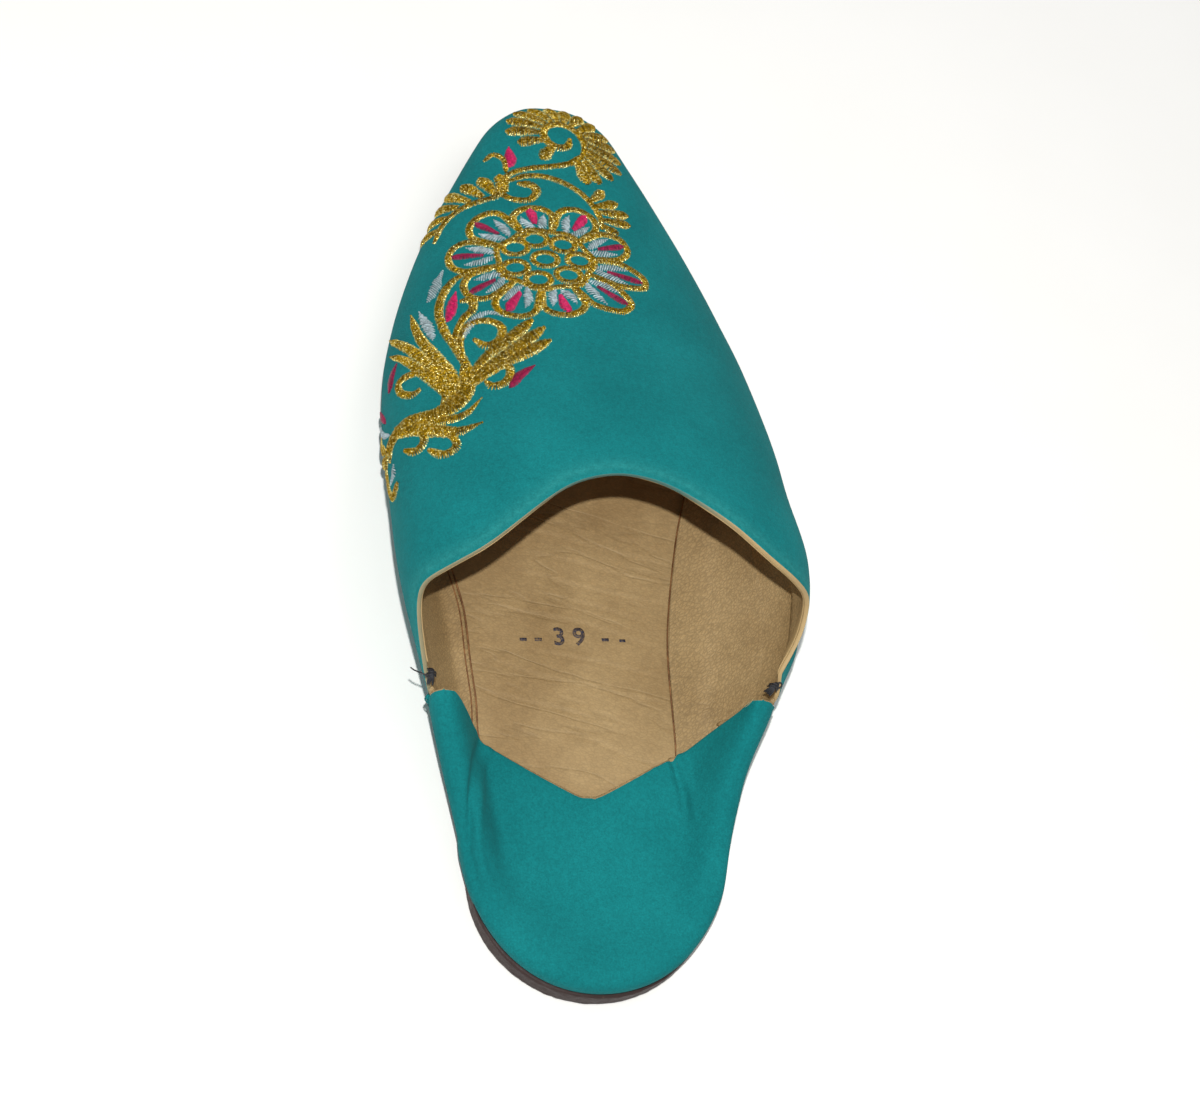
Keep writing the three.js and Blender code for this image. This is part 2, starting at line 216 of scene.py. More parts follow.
def lining_leather(name, grain_mm, slant, stretch, depth, contrast, wrinkle_depth):
    """Tan goatskin lining: a fine grain of little creased cells, drawn out along the pull of the skin.
    Where it lies under the foot, thin wrinkles run across it. Deep under the vamp it is tinted a warmer
    orange tan: painted warm shade, for the shade that falls there."""
    c = colours()
    m, place = new_material(name)
    # Real grain is about 0.4 mm. The grain given here is coarser, so that it shows.
    pulled = add_node(m, "Mapping", {
        "Vector": place, "Rotation": (0, 0, math.radians(slant)), "Scale": (stretch, 1, 1)},
        vector_type="TEXTURE")
    cells = add_node(
        m, "TexVoronoi", {"Vector": pulled, "Scale": per_metre(grain_mm)}, output="Distance",
        feature="DISTANCE_TO_EDGE")
    creases = add_node(m, "TexNoise", {
        "Vector": pulled, "Scale": per_metre(grain_mm * 1.6), "Detail": 4, "Roughness": 0.65,
        "Distortion": 0.8})
    stains = add_node(m, "TexNoise", {
        "Vector": place, "Scale": per_metre(30), "Detail": 4, "Roughness": 0.6})
    tone = blended(m, stains, ((0.35, 0), (0.7, 1)), c.lining_dark, c.lining)
    # Painted warm shade: under the vamp the lining is tinted orange tan for the shade that falls there.
    deep = add_node(m, "Attribute", output="Fac", attribute_name="deep")
    tone = add_node(m, "Mix", {0: deep, 6: tone, 7: linear("#C88F3C")}, **COLOUR_MIX)
    tone = shaded(m, tone, cells, ((0, 1 - contrast), (0.2, 1.02)))
    tone = shaded(m, tone, creases, ((0.34, 0.9), (0.62, 1.05)))
    bumps = [(cells, depth, 0.8), (creases, depth, 0.6)]
    if wrinkle_depth:
        across = add_node(m, "Mapping", {
            "Vector": place, "Rotation": (0, 0, math.radians(-14)), "Scale": (5, 1, 1)},
            vector_type="TEXTURE")
        drift = add_node(m, "TexNoise", {
            "Vector": across, "Scale": per_metre(11), "Detail": 3, "Distortion": 0.3})
        lines = add_node(m, "ValToRGB", {"Fac": drift}, stops=((0.47, 1), (0.5, 0), (0.53, 1)))
        bumps.append((lines, wrinkle_depth, 0.7))
        # Painted shade along the wrinkles.
        tone = shaded(m, tone, drift, ((0.48, 1), (0.5, 0.93), (0.52, 1)))
    return surface(m, {"Base Color": tone, "Roughness": 0.6, "Specular IOR Level": 0.35}, relief=bumps)


def hem_leather(name):
    """The lining's turned edge: the same skin pulled smooth, paler where it is stretched, and hidden
    under the suede at the throat."""
    c = colours()
    m, place = new_material(name)
    mottle = add_node(m, "TexNoise", {"Vector": place, "Scale": per_metre(5), "Detail": 4, "Roughness": 0.6})
    pores = add_node(m, "TexNoise", {"Vector": place, "Scale": per_metre(0.5)})
    tone = blended(m, mottle, ((0.3, 0), (0.75, 1)), c.lining, c.hem)
    tuck = add_node(m, "Attribute", output="Fac", attribute_name="tuck")
    tone = add_node(m, "Mix", {0: tuck, 6: tone, 7: c.suede_dark}, **COLOUR_MIX)
    return surface(
        m, {"Base Color": tone, "Roughness": 0.55, "Specular IOR Level": 0.35}, relief=[(pores, 0.08, 0.5)])


def sole_leather(name):
    """Vegetable tanned sole leather, stained dark brown: closed grain, waxed and scuffed at the edge."""
    m, place = new_material(name)
    plies = add_node(m, "Mapping", {"Vector": place, "Scale": (1, 1, 9)})
    fibre = add_node(m, "TexNoise", {"Vector": plies, "Scale": per_metre(4), "Detail": 4, "Roughness": 0.6})
    scuffs = add_node(m, "TexNoise", {
        "Vector": place, "Scale": per_metre(1.6), "Detail": 5, "Roughness": 0.7})
    dark = colours().sole
    tone = blended(m, fibre, ((0.35, 0), (0.75, 1)), dark, [min(1, v * 1.5) for v in dark])
    tone = blended(m, scuffs, ((0.62, 0), (0.74, 0.5)), tone, linear("#6A5448"))
    rough = add_node(m, "ValToRGB", {"Fac": scuffs}, stops=((0.3, 0.5), (0.7, 0.75)))
    return surface(
        m, {"Base Color": tone, "Roughness": rough, "Specular IOR Level": 0.4}, relief=[(fibre, 0.2, 0.5)])


def ply_twist(m):
    """A wave along a stitch, for the two plies of its thread, which cross it once in every 0.6 mm."""
    lay = add_node(m, "Attribute", output="Fac", attribute_name="lay")
    turns = add_node(m, "Math", {0: lay, 1: 2 * math.pi / 0.6}, operation="MULTIPLY")
    return add_node(m, "Math", {0: turns}, operation="SINE")


def lurex_thread(name):
    """Gold lurex: foil wound on a core. Each stitch is painted lighter or darker than the next, its dark
    facets are painted shade, and painted near-white glints and a painted highlight gather where it dives
    into the leather."""
    c = colours()
    m, place = new_material(name)
    # The real foil strip is about 0.3 mm wide. Its facets are drawn coarser so that they show.
    foil = add_node(m, "TexNoise", {"Vector": place, "Scale": per_metre(0.55), "Roughness": 0.7})
    shade = add_node(m, "Attribute", output="Fac", attribute_name="shade")
    ends = add_node(m, "Attribute", output="Fac", attribute_name="ends")
    edge = add_node(m, "ValToRGB", {"Fac": ends}, stops=((0.45, 0), (0.95, 1)))
    # Painted light and shade: each stitch falls at random between the gold turned from the light and the lit
    # gold.
    tone = add_node(m, "Mix", {0: shade, 6: c.gold_dark, 7: c.gold}, **COLOUR_MIX)
    # Painted shade on the foil's dark facets.
    tone = blended(m, foil, ((0.38, 0.7), (0.5, 0)), tone, linear("#3E2C04"))
    # A painted highlight towards the ends of each stitch.
    lit = add_node(m, "Math", {0: edge, 1: 0.4}, operation="MULTIPLY")
    tone = add_node(m, "Mix", {0: lit, 6: tone, 7: linear("#D9B02C")}, **COLOUR_MIX)
    # Painted near-white glints, most of them at the stitch ends.
    reach = add_node(m, "Math", {0: edge, 1: 0.11, 2: foil}, operation="MULTIPLY_ADD")
    tone = blended(m, reach, ((0.58, 0), (0.62, 1)), tone, linear("#FFF6A8"))
    rough = add_node(m, "ValToRGB", {"Fac": foil}, stops=((0.4, 0.42), (0.6, 0.2)))
    return surface(m, {
        "Base Color": tone, "Metallic": 0.75, "Roughness": rough,
        "Specular IOR Level": 0.2, "Specular Tint": linear("#F0CE70"),
    }, relief=[(ply_twist(m), 0.06, 0.6), (foil, 0.25, 1.0)])


def rayon_thread(name, dye, lift):
    """Rayon floss: smooth filaments whose strands are painted darker and paler, as painted shade and a
    painted silky highlight, each stitch painted a little lighter or darker than the next.
    """
    m, place = new_material(name)
    tint = getattr(colours(), dye)
    strands = add_node(m, "TexNoise", {"Vector": place, "Scale": per_metre(0.7), "Roughness": 0.6})
    # Dark and pale strands: painted shade and a painted highlight; lift is how much paler the highlight is.
    dark = [v * 0.55 for v in tint]
    pale = [min(1, v * lift) for v in tint]
    tone = blended(m, strands, ((0.3, 0), (0.7, 1)), dark, pale)
    # Painted light and shade, stitch by stitch.
    shade = add_node(m, "Attribute", output="Fac", attribute_name="shade")
    tone = shaded(m, tone, shade, ((0, 0.75), (1, 1.15)))
    return surface(
        m, {"Base Color": tone, "Roughness": 0.42, "Specular IOR Level": 0.3},
        relief=[(ply_twist(m), 0.04, 0.6), (strands, 0.1, 0.6)])


def linen_thread(name):
    """Waxed black linen thread, tightly laid, nearly matt."""
    m, place = new_material(name)
    lay = add_node(m, "TexNoise", {"Vector": place, "Scale": per_metre(0.4)})
    tone = add_node(m, "Mix", {0: lay, 6: colours().black, 7: linear("#2A2A30")}, **COLOUR_MIX)
    return surface(m, {"Base Color": tone, "Roughness": 0.6}, relief=[(lay, 0.1, 0.6)])


def rubber_cement(name):
    """Rubber cement gone brown along the lining's edge, sunk and shiny in places."""
    m, place = new_material(name)
    drift = add_node(m, "TexNoise", {"Vector": place, "Scale": per_metre(3), "Detail": 3})
    tone = blended(m, drift, ((0.35, 0), (0.7, 1)), linear("#5A3A22"), linear("#8C6238"))
    rough = add_node(m, "ValToRGB", {"Fac": drift}, stops=((0.3, 0.35), (0.7, 0.7)))
    return surface(m, {"Base Color": tone, "Roughness": rough})


def stamp_ink(name):
    """Rubber stamp ink on leather: thin and worn, so it fades in patches."""
    c = colours()
    m, place = new_material(name)
    wear = add_node(m, "TexNoise", {"Vector": place, "Scale": per_metre(0.7), "Detail": 3, "Roughness": 0.7})
    tone = blended(m, wear, ((0.45, 0), (0.7, 0.8)), c.ink, c.lining_dark)
    return surface(m, {"Base Color": tone, "Roughness": 0.7, "Specular IOR Level": 0.2})


def painted_board(name):
    """Painted board, pale and matt."""
    m, place = new_material(name)
    mottle = add_node(m, "TexNoise", {"Vector": place, "Scale": per_metre(40)})
    tone = add_node(m, "Mix", {0: mottle, 6: colours().floor, 7: linear("#F7F7F6")}, **COLOUR_MIX)
    return surface(m, {"Base Color": tone, "Roughness": 0.9, "Specular IOR Level": 0.1})


# How each finish is made: its maker and what that takes after the name.
FINISHES = {
    "turquoise_suede": (suede_leather,),
    "side_lining_leather": (lining_leather, 0.75, 43, 2.4, 0.22, 0.24, 0),
    "insole_sock_leather": (lining_leather, 0.8, -12, 1.8, 0.08, 0.1, 0.16),
    "turned_hem_leather": (hem_leather,),
    "dark_sole_leather": (sole_leather,),
    "gold_lurex_thread": (lurex_thread,),
    "pink_rayon_thread": (rayon_thread, "pink", 1.35),
    "crimson_rayon_thread": (rayon_thread, "crimson", 1.6),
    "silver_rayon_thread": (rayon_thread, "silver", 1.4),
    "turquoise_rayon_thread": (rayon_thread, "suede", 1.2),
    "black_linen_thread": (linen_thread,),
    "brown_seam_glue": (rubber_cement,),
    "worn_stamp_ink": (stamp_ink,),
    "pale_painted_board": (painted_board,),
}


def finish(name):
    """The material of that name, made once."""
    maker, *arguments = FINISHES[name]
    return bpy.data.materials.get(name) or maker(name, *arguments)


# ------------------------------------------------------------------ meshes
def link(mesh, name, finishes):
    """A finished piece: shaded smooth, with its finishes, riding on the slipper."""
    piece = bpy.data.objects.new(name, mesh)
    bpy.context.scene.collection.objects.link(piece)
    for each in finishes:
        mesh.materials.append(finish(each))
    mesh.polygons.foreach_set("use_smooth", [True] * len(mesh.polygons))
    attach(piece, BODY)
    return piece


def store(mesh, attribute, values):
    """Gives each vertex a number that a finish reads."""
    mesh.attributes.new(attribute, "FLOAT", "POINT").data.foreach_set("value", values)


def mesh_of(bm, name):
    """The bmesh as a mesh, and the bmesh freed."""
    mesh = bpy.data.meshes.new(name)
    bm.to_mesh(mesh)
    bm.free()
    return mesh


def merged_copy(node):
    """A CAD node's solid as one closed mesh, of four-sided faces where its triangles pair up."""
    bm = bmesh.new()
    bm.from_mesh(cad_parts[node].data)
    bmesh.ops.remove_doubles(bm, verts=bm.verts, dist=0.002 * MM)
    bmesh.ops.join_triangles(
        bm, faces=bm.faces, angle_face_threshold=math.radians(50),
        angle_shape_threshold=math.radians(60))
    bmesh.ops.recalc_face_normals(bm, faces=bm.faces)
    bm.normal_update()
    bm.verts.ensure_lookup_table()
    return bm


def regions(bm, bend):
    """The faces in groups that no edge sharper than bend divides, the largest area first."""
    left = set(bm.faces)
    groups = []
    while left:
        seed = left.pop()
        group, fringe = {seed}, [seed]
        while fringe:
            face = fringe.pop()
            for edge in face.edges:
                if edge.calc_face_angle(math.pi) > bend:
                    continue
                for other in edge.link_faces:
                    if other in left:
                        left.discard(other)
                        group.add(other)
                        fringe.append(other)
        groups.append(group)
    return sorted(groups, key=lambda g: -sum(f.calc_area() for f in g))


RIM_BEND = math.radians(55)
# A shell's outer skin, inner skin and rims, in the order of their sizes.
SHELL_FINISHES = ["turquoise_suede", "side_lining_leather", "turned_hem_leather"]


def dress_shell(bm):
    """Gives the outer skin, the inner skin and the rims of a shell their finishes."""
    groups = regions(bm, RIM_BEND)
    for number, group in enumerate(groups):
        for face in group:
            face.material_index = min(number, 2)
    return groups


def round_rims(bm, groups, offset):
    """Bevels the edges between the two skins and the rims."""
    skins = groups[0] | groups[1]
    rims = [
        edge for edge in bm.edges
        if len(edge.link_faces) == 2 and len(set(edge.link_faces) & skins) == 1
    ]
    bmesh.ops.bevel(
        bm, geom=rims, offset=offset, offset_type="OFFSET", segments=2, profile=0.5,
        affect="EDGES", material=-1, clamp_overlap=True)


def fine(mesh, levels):
    """The mesh subdivided into a smooth one, with nothing left live."""
    holder = bpy.data.objects.new("holder", mesh)
    bpy.context.scene.collection.objects.link(holder)
    smooth = holder.modifiers.new("smooth", "SUBSURF")
    smooth.levels = levels
    smooth.render_levels = levels
    graph = bpy.context.evaluated_depsgraph_get()
    result = bpy.data.meshes.new_from_object(holder.evaluated_get(graph))
    bpy.data.objects.remove(holder)
    return result


def displace(mesh, shift):
    """Moves each vertex along its normal by shift(place in millimetres, normal), in millimetres."""
    normals = [v.normal.copy() for v in mesh.vertices]
    for vertex, normal in zip(mesh.vertices, normals):
        place = Vector((vertex.co.x / MM, (vertex.co.y - HEEL_Y) / MM, vertex.co.z / MM))
        vertex.co += normal * shift(place, normal) * MM
    mesh.update()


def fade(start, end, value):
    """0 at start, 1 at end, smooth between."""
    t = min(1.0, max(0.0, (value - start) / (end - start)))
    return t * t * (3 - 2 * t)


def line_distance(place, route):
    """Distance in plan from a place to a route, signed by its side, and how far along it is, 0 to 1."""
    best, along, run = 1e9, 0.0, 0.0
    total = sum((Vector(b) - Vector(a)).length for a, b in zip(route, route[1:]))
    for a, b in zip(route, route[1:]):
        a, b = Vector(a), Vector(b)
        span = b - a
        offset = Vector(place[:2]) - a
        t = min(1.0, max(0.0, offset.dot(span) / span.length_squared))
        gap = (offset - span * t).length
        if gap < abs(best):
            best = math.copysign(gap, span.cross(offset))
            along = (run + span.length * t) / total
        run += span.length
    return best, along


def trough(place, route, depth, width, lip=0.35):
    """A soft groove along a route, with a low lip 1.9 widths to its left, dying out at both ends."""
    gap, along = line_distance(place, route)
    if abs(gap) > 4 * width:
        return 0.0
    groove = math.exp(-(gap / width) ** 2) - lip * math.exp(-((gap - 1.9 * width) / width) ** 2)
    return -depth * groove * math.sin(math.pi * along) ** 0.4


def sweep(bm, stations):
    """Skins a row of sections, each a ring of points, by extruding the first one along them, and caps both
    ends."""
    first = [bm.verts.new(p) for p in stations[0]]
    count = len(first)
    edges = [bm.edges.new((first[i], first[(i + 1) % count])) for i in range(count)]
    ring = first
    for section in stations[1:]:
        grown = bmesh.ops.extrude_edge_only(bm, edges=edges)["geom"]
        moved = {}
        for old in ring:
            for edge in old.link_edges:
                other = edge.other_vert(old)
                if other in grown and other not in ring:
                    moved[old] = other
        ring = [moved[v] for v in ring]
        for vertex, point in zip(ring, section):
            vertex.co = point
        edges = [bm.edges.get((ring[i], ring[(i + 1) % count])) for i in range(count)]
    bmesh.ops.contextual_create(bm, geom=first)
    bmesh.ops.contextual_create(bm, geom=ring)


def smooth_route(points, step):
    """Points a step apart along a smooth curve through the given ones."""
    points = [Vector(p) for p in points]
    ends = [2 * points[0] - points[1], *points, 2 * points[-1] - points[-2]]
    dense = []
    for p0, p1, p2, p3 in zip(ends, ends[1:], ends[2:], ends[3:]):
        pieces = max(4, int((p2 - p1).length / step * 3))
        for i in range(pieces):
            t = i / pieces
            dense.append(0.5 * (
                2 * p1 + (p2 - p0) * t + (2 * p0 - 5 * p1 + 4 * p2 - p3) * t ** 2
                + (3 * p1 - p0 - 3 * p2 + p3) * t ** 3))
    dense.append(points[-1])
    runs = [0.0]
    for a, b in zip(dense, dense[1:]):
        runs.append(runs[-1] + (b - a).length)
    count = max(2, round(runs[-1] / step))
    result, at = [], 0
    for i in range(count + 1):
        target = runs[-1] * i / count
        while at < len(runs) - 2 and runs[at + 1] < target:
            at += 1
        span = max(1e-9, runs[at + 1] - runs[at])
        result.append(dense[at].lerp(dense[at + 1], min(1.0, (target - runs[at]) / span)))
    return result


def tube(bm, points, radius, sides=8):
    """A closed round tube along points, narrowed at its ends."""
    stations = []
    for i, p in enumerate(points):
        ahead = (points[min(i + 1, len(points) - 1)] - points[max(i - 1, 0)]).normalized()
        side = ahead.cross(UP if abs(ahead.z) < 0.9 else Vector((1, 0, 0))).normalized()
        over = side.cross(ahead)
        r = radius * (0.45 if i in (0, len(points) - 1) else 1.0)
        turn = [2 * math.pi * k / sides for k in range(sides)]
        stations.append([p + (side * math.cos(a) + over * math.sin(a)) * r for a in turn])
    sweep(bm, stations)


# ------------------------------------------------------------------ the upper's own chart
class Chart:
    """Maps millimetres on the vamp to space: across from the centre line, and along from the heel."""

    FIRST, LAST = 96, 275       # rows, a millimetre apart
    REACH = 100                 # millimetres charted to each side
    TURN = 118                  # degrees from straight up to the lowest ray on each side
    FAR = 150                   # millimetres from the centre line out to where a ray starts

    def __init__(self, mesh):
        tree = BVHTree.FromPolygons(
            [v.co for v in mesh.vertices], [p.vertices[:] for p in mesh.polygons])
        angles = np.radians(np.arange(-self.TURN, self.TURN + 1, 2))
        middle = len(angles) // 2
        spread = np.arange(-self.REACH, self.REACH + 1, 1.0)
        rows = []
        for y in range(self.FIRST, self.LAST + 1):
            lift = 12 + 5 * fade(230, 275, y)
            centre = spot(0, y, lift)
            outline = []
            for angle in angles:
                way = Vector((math.sin(angle), 0, math.cos(angle)))
                far = centre + way * self.FAR * MM
                hit = tree.ray_cast(far, -way)[0]
                outline.append(hit if hit is not None else centre)
            outline = np.array(outline)
            pieces = np.linalg.norm(np.diff(outline, axis=0), axis=1)
            run = np.concatenate([[0], np.cumsum(pieces)]) / MM
            run -= run[middle]
            rows.append(np.stack([np.interp(spread, run, outline[:, k]) for k in range(3)], 1))
        self.points = np.array(rows)
        along = np.gradient(self.points, axis=0)
        across = np.gradient(self.points, axis=1)
        normal = np.cross(across, along)
        size = np.linalg.norm(normal, axis=2, keepdims=True)
        self.normals = normal / np.maximum(size, 1e-12)

    def place(self, across, along, rise):
        """Points in space for arrays of chart places and of heights above the suede, in millimetres."""
        u = np.clip(along - self.FIRST, 0, len(self.points) - 1.001)
        v = np.clip(across + self.REACH, 0, 2 * self.REACH - 0.001)
        i, j = u.astype(int), v.astype(int)
        fu, fv = (u - i)[..., None], (v - j)[..., None]

        def blend(grid):
            low = grid[i, j] * (1 - fv) + grid[i, j + 1] * fv
            high = grid[i + 1, j] * (1 - fv) + grid[i + 1, j + 1] * fv
            return low * (1 - fu) + high * fu

        return blend(self.points) + blend(self.normals) * (rise * MM)[..., None]


made = {}                       # finished pieces, the collar's two edges and the chart, for later operators


def wear_and_highlight_marks(mesh, edge, reach):
    """Stores how near each vertex is to the worn edge, where wear and a painted highlight lie: 1 on the
    edge, dying out over about twice the reach.
    """
    worn = np.array([p[:] for p in smooth_route(edge, 2 * MM)])
    places = np.array([v.co[:] for v in mesh.vertices])
    near = np.full(len(places), 1.0)
    for block in np.array_split(np.arange(len(places)), 1 + len(places) // 5000):
        gaps = np.linalg.norm(places[block][:, None] - worn[None], axis=2)
        near[block] = gaps.min(1) / (reach * MM)
    store(mesh, "rub", np.exp(-near ** 2))


# ------------------------------------------------------------------ leather pieces
CREASE_LEFT = [(-29, 73), (-33, 63), (-35.5, 50), (-36, 38), (-33, 25)]
CREASE_RIGHT = [(23.5, 73), (25.5, 65), (27, 57), (27, 49)]
INSOLE_WRINKLES = [
    [(-22, 139), (-6, 137), (14, 132), (30, 129)],
    [(-12, 131), (4, 128), (26, 122)],
    [(-16, 125), (-6, 123), (6, 120), (28, 116)],
    [(-10, 118), (6, 115), (22, 110)],
    [(-27, 114), (-7, 111), (4, 109), (25, 102)],
    [(-12, 100), (8, 97), (25, 93)],
    [(-27, 98), (-14, 93), (0, 90), (25, 85)],
    [(-27, 87), (-14, 84), (-1, 81), (10, 77)],
    [(-8, 76), (4, 73), (14, 68)],
]


class SLIPPER_OT_outsole(bpy.types.Operator):
    """Makes the sole smooth and dresses it in dark leather"""
    bl_idname = "slipper.outsole"
    bl_label = "Outsole"

    def execute(self, context):
        bm = merged_copy("outsole")
        sharp = [e for e in bm.edges if e.calc_face_angle(0) > math.radians(30)]
        bmesh.ops.bevel(
            bm, geom=sharp, offset=0.25 * MM, offset_type="OFFSET", segments=1, profile=0.5,
            affect="EDGES", material=-1, clamp_overlap=True)
        mesh = fine(mesh_of(bm, "outsole_leather"), sizes().fine_levels)

        def fray(place, normal):
            if abs(normal.z) > 0.7:
                return 0.0
            return 0.16 * noise.noise(place * 0.8) + 0.1 * noise.noise(place * Vector((0.3, 0.3, 2)))

        displace(mesh, fray)
        piece = link(mesh, "outsole_leather", ["dark_sole_leather"])
        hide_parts("outsole")
        return {"FINISHED"}


class SLIPPER_OT_insole(bpy.types.Operator):
    """Makes the leather sock with its wrinkles across the foot"""
    bl_idname = "slipper.insole"
    bl_label = "Insole"

    def execute(self, context):
        bm = merged_copy("insole")
        top = [f for f in bm.faces if f.normal.z > 0.7]
        cuts = list({e for f in top for e in f.edges})
        bmesh.ops.subdivide_edges(bm, edges=cuts, cuts=2, use_grid_fill=True)
        mesh = fine(mesh_of(bm, "insole_leather"), sizes().fine_levels)

        def wrinkle(place, normal):
            if normal.z < 0.5:
                return 0.0
            grooves = sum(trough(place, route, 0.24, 0.5, 0.7) for route in INSOLE_WRINKLES)
            return grooves + 0.18 * noise.noise(place * 0.07)

        displace(mesh, wrinkle)
        piece = link(mesh, "insole_leather", ["insole_sock_leather"])
        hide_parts("insole")
        made["insole"] = piece
        return {"FINISHED"}


BELLY, LEAN = 7.2, 2.2
WALL_FOOT, WALL_HEIGHT = 2, 32


def sag(point):
    """How far the right wall bellies outward by the seam, and its collar leans out in front of that."""
    x, y, z = point.x / MM, (point.y - HEEL_Y) / MM, point.z / MM
    height = min(1.0, max(0.0, (z - WALL_FOOT) / WALL_HEIGHT)) ** 1.6
    belly = BELLY * math.sin(math.pi * height) * fade(56, 100, y) * (1 - fade(106, 140, y))
    lean = LEAN * fade(12, 32, z) * fade(80, 95, y) * (1 - fade(112, 140, y))
    return Vector(((belly + lean) * fade(12, 30, x) * MM, 0, 0))


def slump(mesh):
    """Lets the right wall of a piece sag."""
    for vertex in mesh.vertices:
        vertex.co += sag(vertex.co)
    mesh.update()


class SLIPPER_OT_upper(bpy.types.Operator):
    """Makes the vamp and its sides: suede outside, tan lining inside, pale turned edge between"""
    bl_idname = "slipper.upper"
    bl_label = "Upper"

    def execute(self, context):
        bm = merged_copy("upper")
        groups = dress_shell(bm)
        made["collar"] = collar_loops(bm, groups)
        round_rims(bm, groups, sizes().edge_round)
        mesh = fine(mesh_of(bm, "upper_suede"), sizes().fine_levels)
        slump(mesh)
        waver = sizes().suede_waver / MM

        def soften(place, normal):
            away = fade(80, 100, place.y) * (1 - fade(262, 274, place.y)) * fade(8, 16, place.z)
            slow = noise.noise(place * 0.022) + 0.45 * noise.noise(place * 0.06 + Vector((7, 3, 1)))
            return waver * slow * away

        displace(mesh, soften)
        # Wear and a painted highlight along the collar's edge.
        wear_and_highlight_marks(mesh, collar_top(0), 4)
        across = [v.co.x / MM for v in mesh.vertices]
        store(mesh, "tuck", [0.85 * (1 - fade(14, 34, x)) - 0.5 * fade(10, 30, -x) for x in across])
        # How far under the vamp each vertex lies, for the lining's painted warm shade.
        store(mesh, "deep", [fade(118, 150, (v.co.y - HEEL_Y) / MM) for v in mesh.vertices])
        piece = link(mesh, "upper_suede", SHELL_FINISHES)
        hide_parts("upper")
        made["upper"] = piece
        made["chart"] = Chart(mesh)
        return {"FINISHED"}


def walk(edges):
    """The vertices of an open chain of edges in order, from its lower left end."""
    near = {}
    for edge in edges:
        for vertex in edge.verts:
            near.setdefault(vertex, []).append(edge.other_vert(vertex))
    ends = [v for v, others in near.items() if len(others) == 1]
    at = min(ends, key=lambda v: (round(v.co.x, 3), v.co.z))
    chain, before = [at], None
    while True:
        onward = [v for v in near[at] if v is not before and v not in chain[-2:]]
        if not onward:
            return [v.co.copy() for v in chain]
        before, at = at, onward[0]
        chain.append(at)


THROAT = 132                    # the collar's edges lie behind this, in mm from the heel
SEAM_TOP = 31                   # height at which the collar meets the side seams


def collar_loops(bm, groups):
    """The collar's edge on the suede side and on the lining side, from the left seam to the right."""
    def behind_throat(edge):
        return all(v.co.y < HEEL_Y + THROAT * MM for v in edge.verts)

    loops = []
    for skin in groups[:2]:
        chain = []
        for edge in bm.edges:
            sides = edge.link_faces
            if len(sides) != 2 or len(set(sides) & skin) != 1:
                continue
            rim = next(f for f in sides if f not in skin)
            if abs(rim.normal.z) < 0.93 and rim.normal.y < -0.1 and behind_throat(edge):
                chain.append(edge)
        loops.append([point + sag(point) for point in walk(chain)])
    return loops


def above_seam(loop):
    """The part of a collar loop over the side seams, and the two parts that run down them."""
    top = [p for p in loop if p.z > SEAM_TOP * MM]
    left = [p for p in loop if p.z <= SEAM_TOP * MM and p.x < 0]
    right = [p for p in loop if p.z <= SEAM_TOP * MM and p.x > 0]
    return top, left, right


def collar_top(side):
    """The collar's edge between the side seams, on the suede side (0) or on the lining side (1)."""
    return above_seam(made["collar"][side])[0]


class SLIPPER_OT_heel_quarter(bpy.types.Operator):
    """Makes the folded heel quarter with the creases beside its flap"""
    bl_idname = "slipper.heel_quarter"
    bl_label = "Heel quarter"

    def execute(self, context):
        bm = merged_copy("heel_quarter")
        groups = dress_shell(bm)
        round_rims(bm, groups, sizes().edge_round)
        mesh = fine(mesh_of(bm, "heel_quarter_suede"), sizes().fine_levels)
        slump(mesh)
        depth = sizes().crease_depth / MM

        def crease(place, normal):
            way = max(-1.0, min(1.0, normal.z * 1.6))
            folds = trough(place, CREASE_LEFT, depth, 1.4) + trough(place, CREASE_RIGHT, depth * 0.8, 1.1)
            return (folds + 0.22 * noise.noise(place * 0.045)) * way

        displace(mesh, crease)
        # Wear and a painted highlight along the collar's edge.
        wear_and_highlight_marks(mesh, collar_top(0), 3)
        piece = link(mesh, "heel_quarter_suede", SHELL_FINISHES)
        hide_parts("heel_quarter")
        made["heel_quarter"] = piece
        return {"FINISHED"}


# ------------------------------------------------------------------ linings, edges and thread
INSOLE_TOP = 8.4
LINING_START, LINING_END, LINING_PITCH = 66, 166, 3     # the side linings' sections, from the heel
LINING_CLIMB = 8.5              # how far they climb the wall in front of the flap
# Where the side linings are glued down on the sock: x and y, from the heel to the ball.
SEAM_LEFT = [(-29, 66), (-30, 75), (-30, 84), (-31, 96), (-32, 111), (-35, 124), (-39, 140), (-42, 165)]
SEAM_RIGHT = [(26, 66), (27, 72), (27, 99), (29, 117), (33, 138), (37, 153), (40, 172)]


def tree_of(*pieces):
    """A search tree over several finished pieces."""
    vertices, polygons = [], []
    for piece in pieces:
        base = len(vertices)
        vertices.extend(v.co.copy() for v in piece.data.vertices)
        polygons.extend([base + v for v in p.vertices] for p in piece.data.polygons)
    return BVHTree.FromPolygons(vertices, polygons)


def across_at(seam, y):
    """x of a seam at y."""
    ys = [p[1] for p in seam]
    return float(np.interp(y, ys, [p[0] for p in seam]))


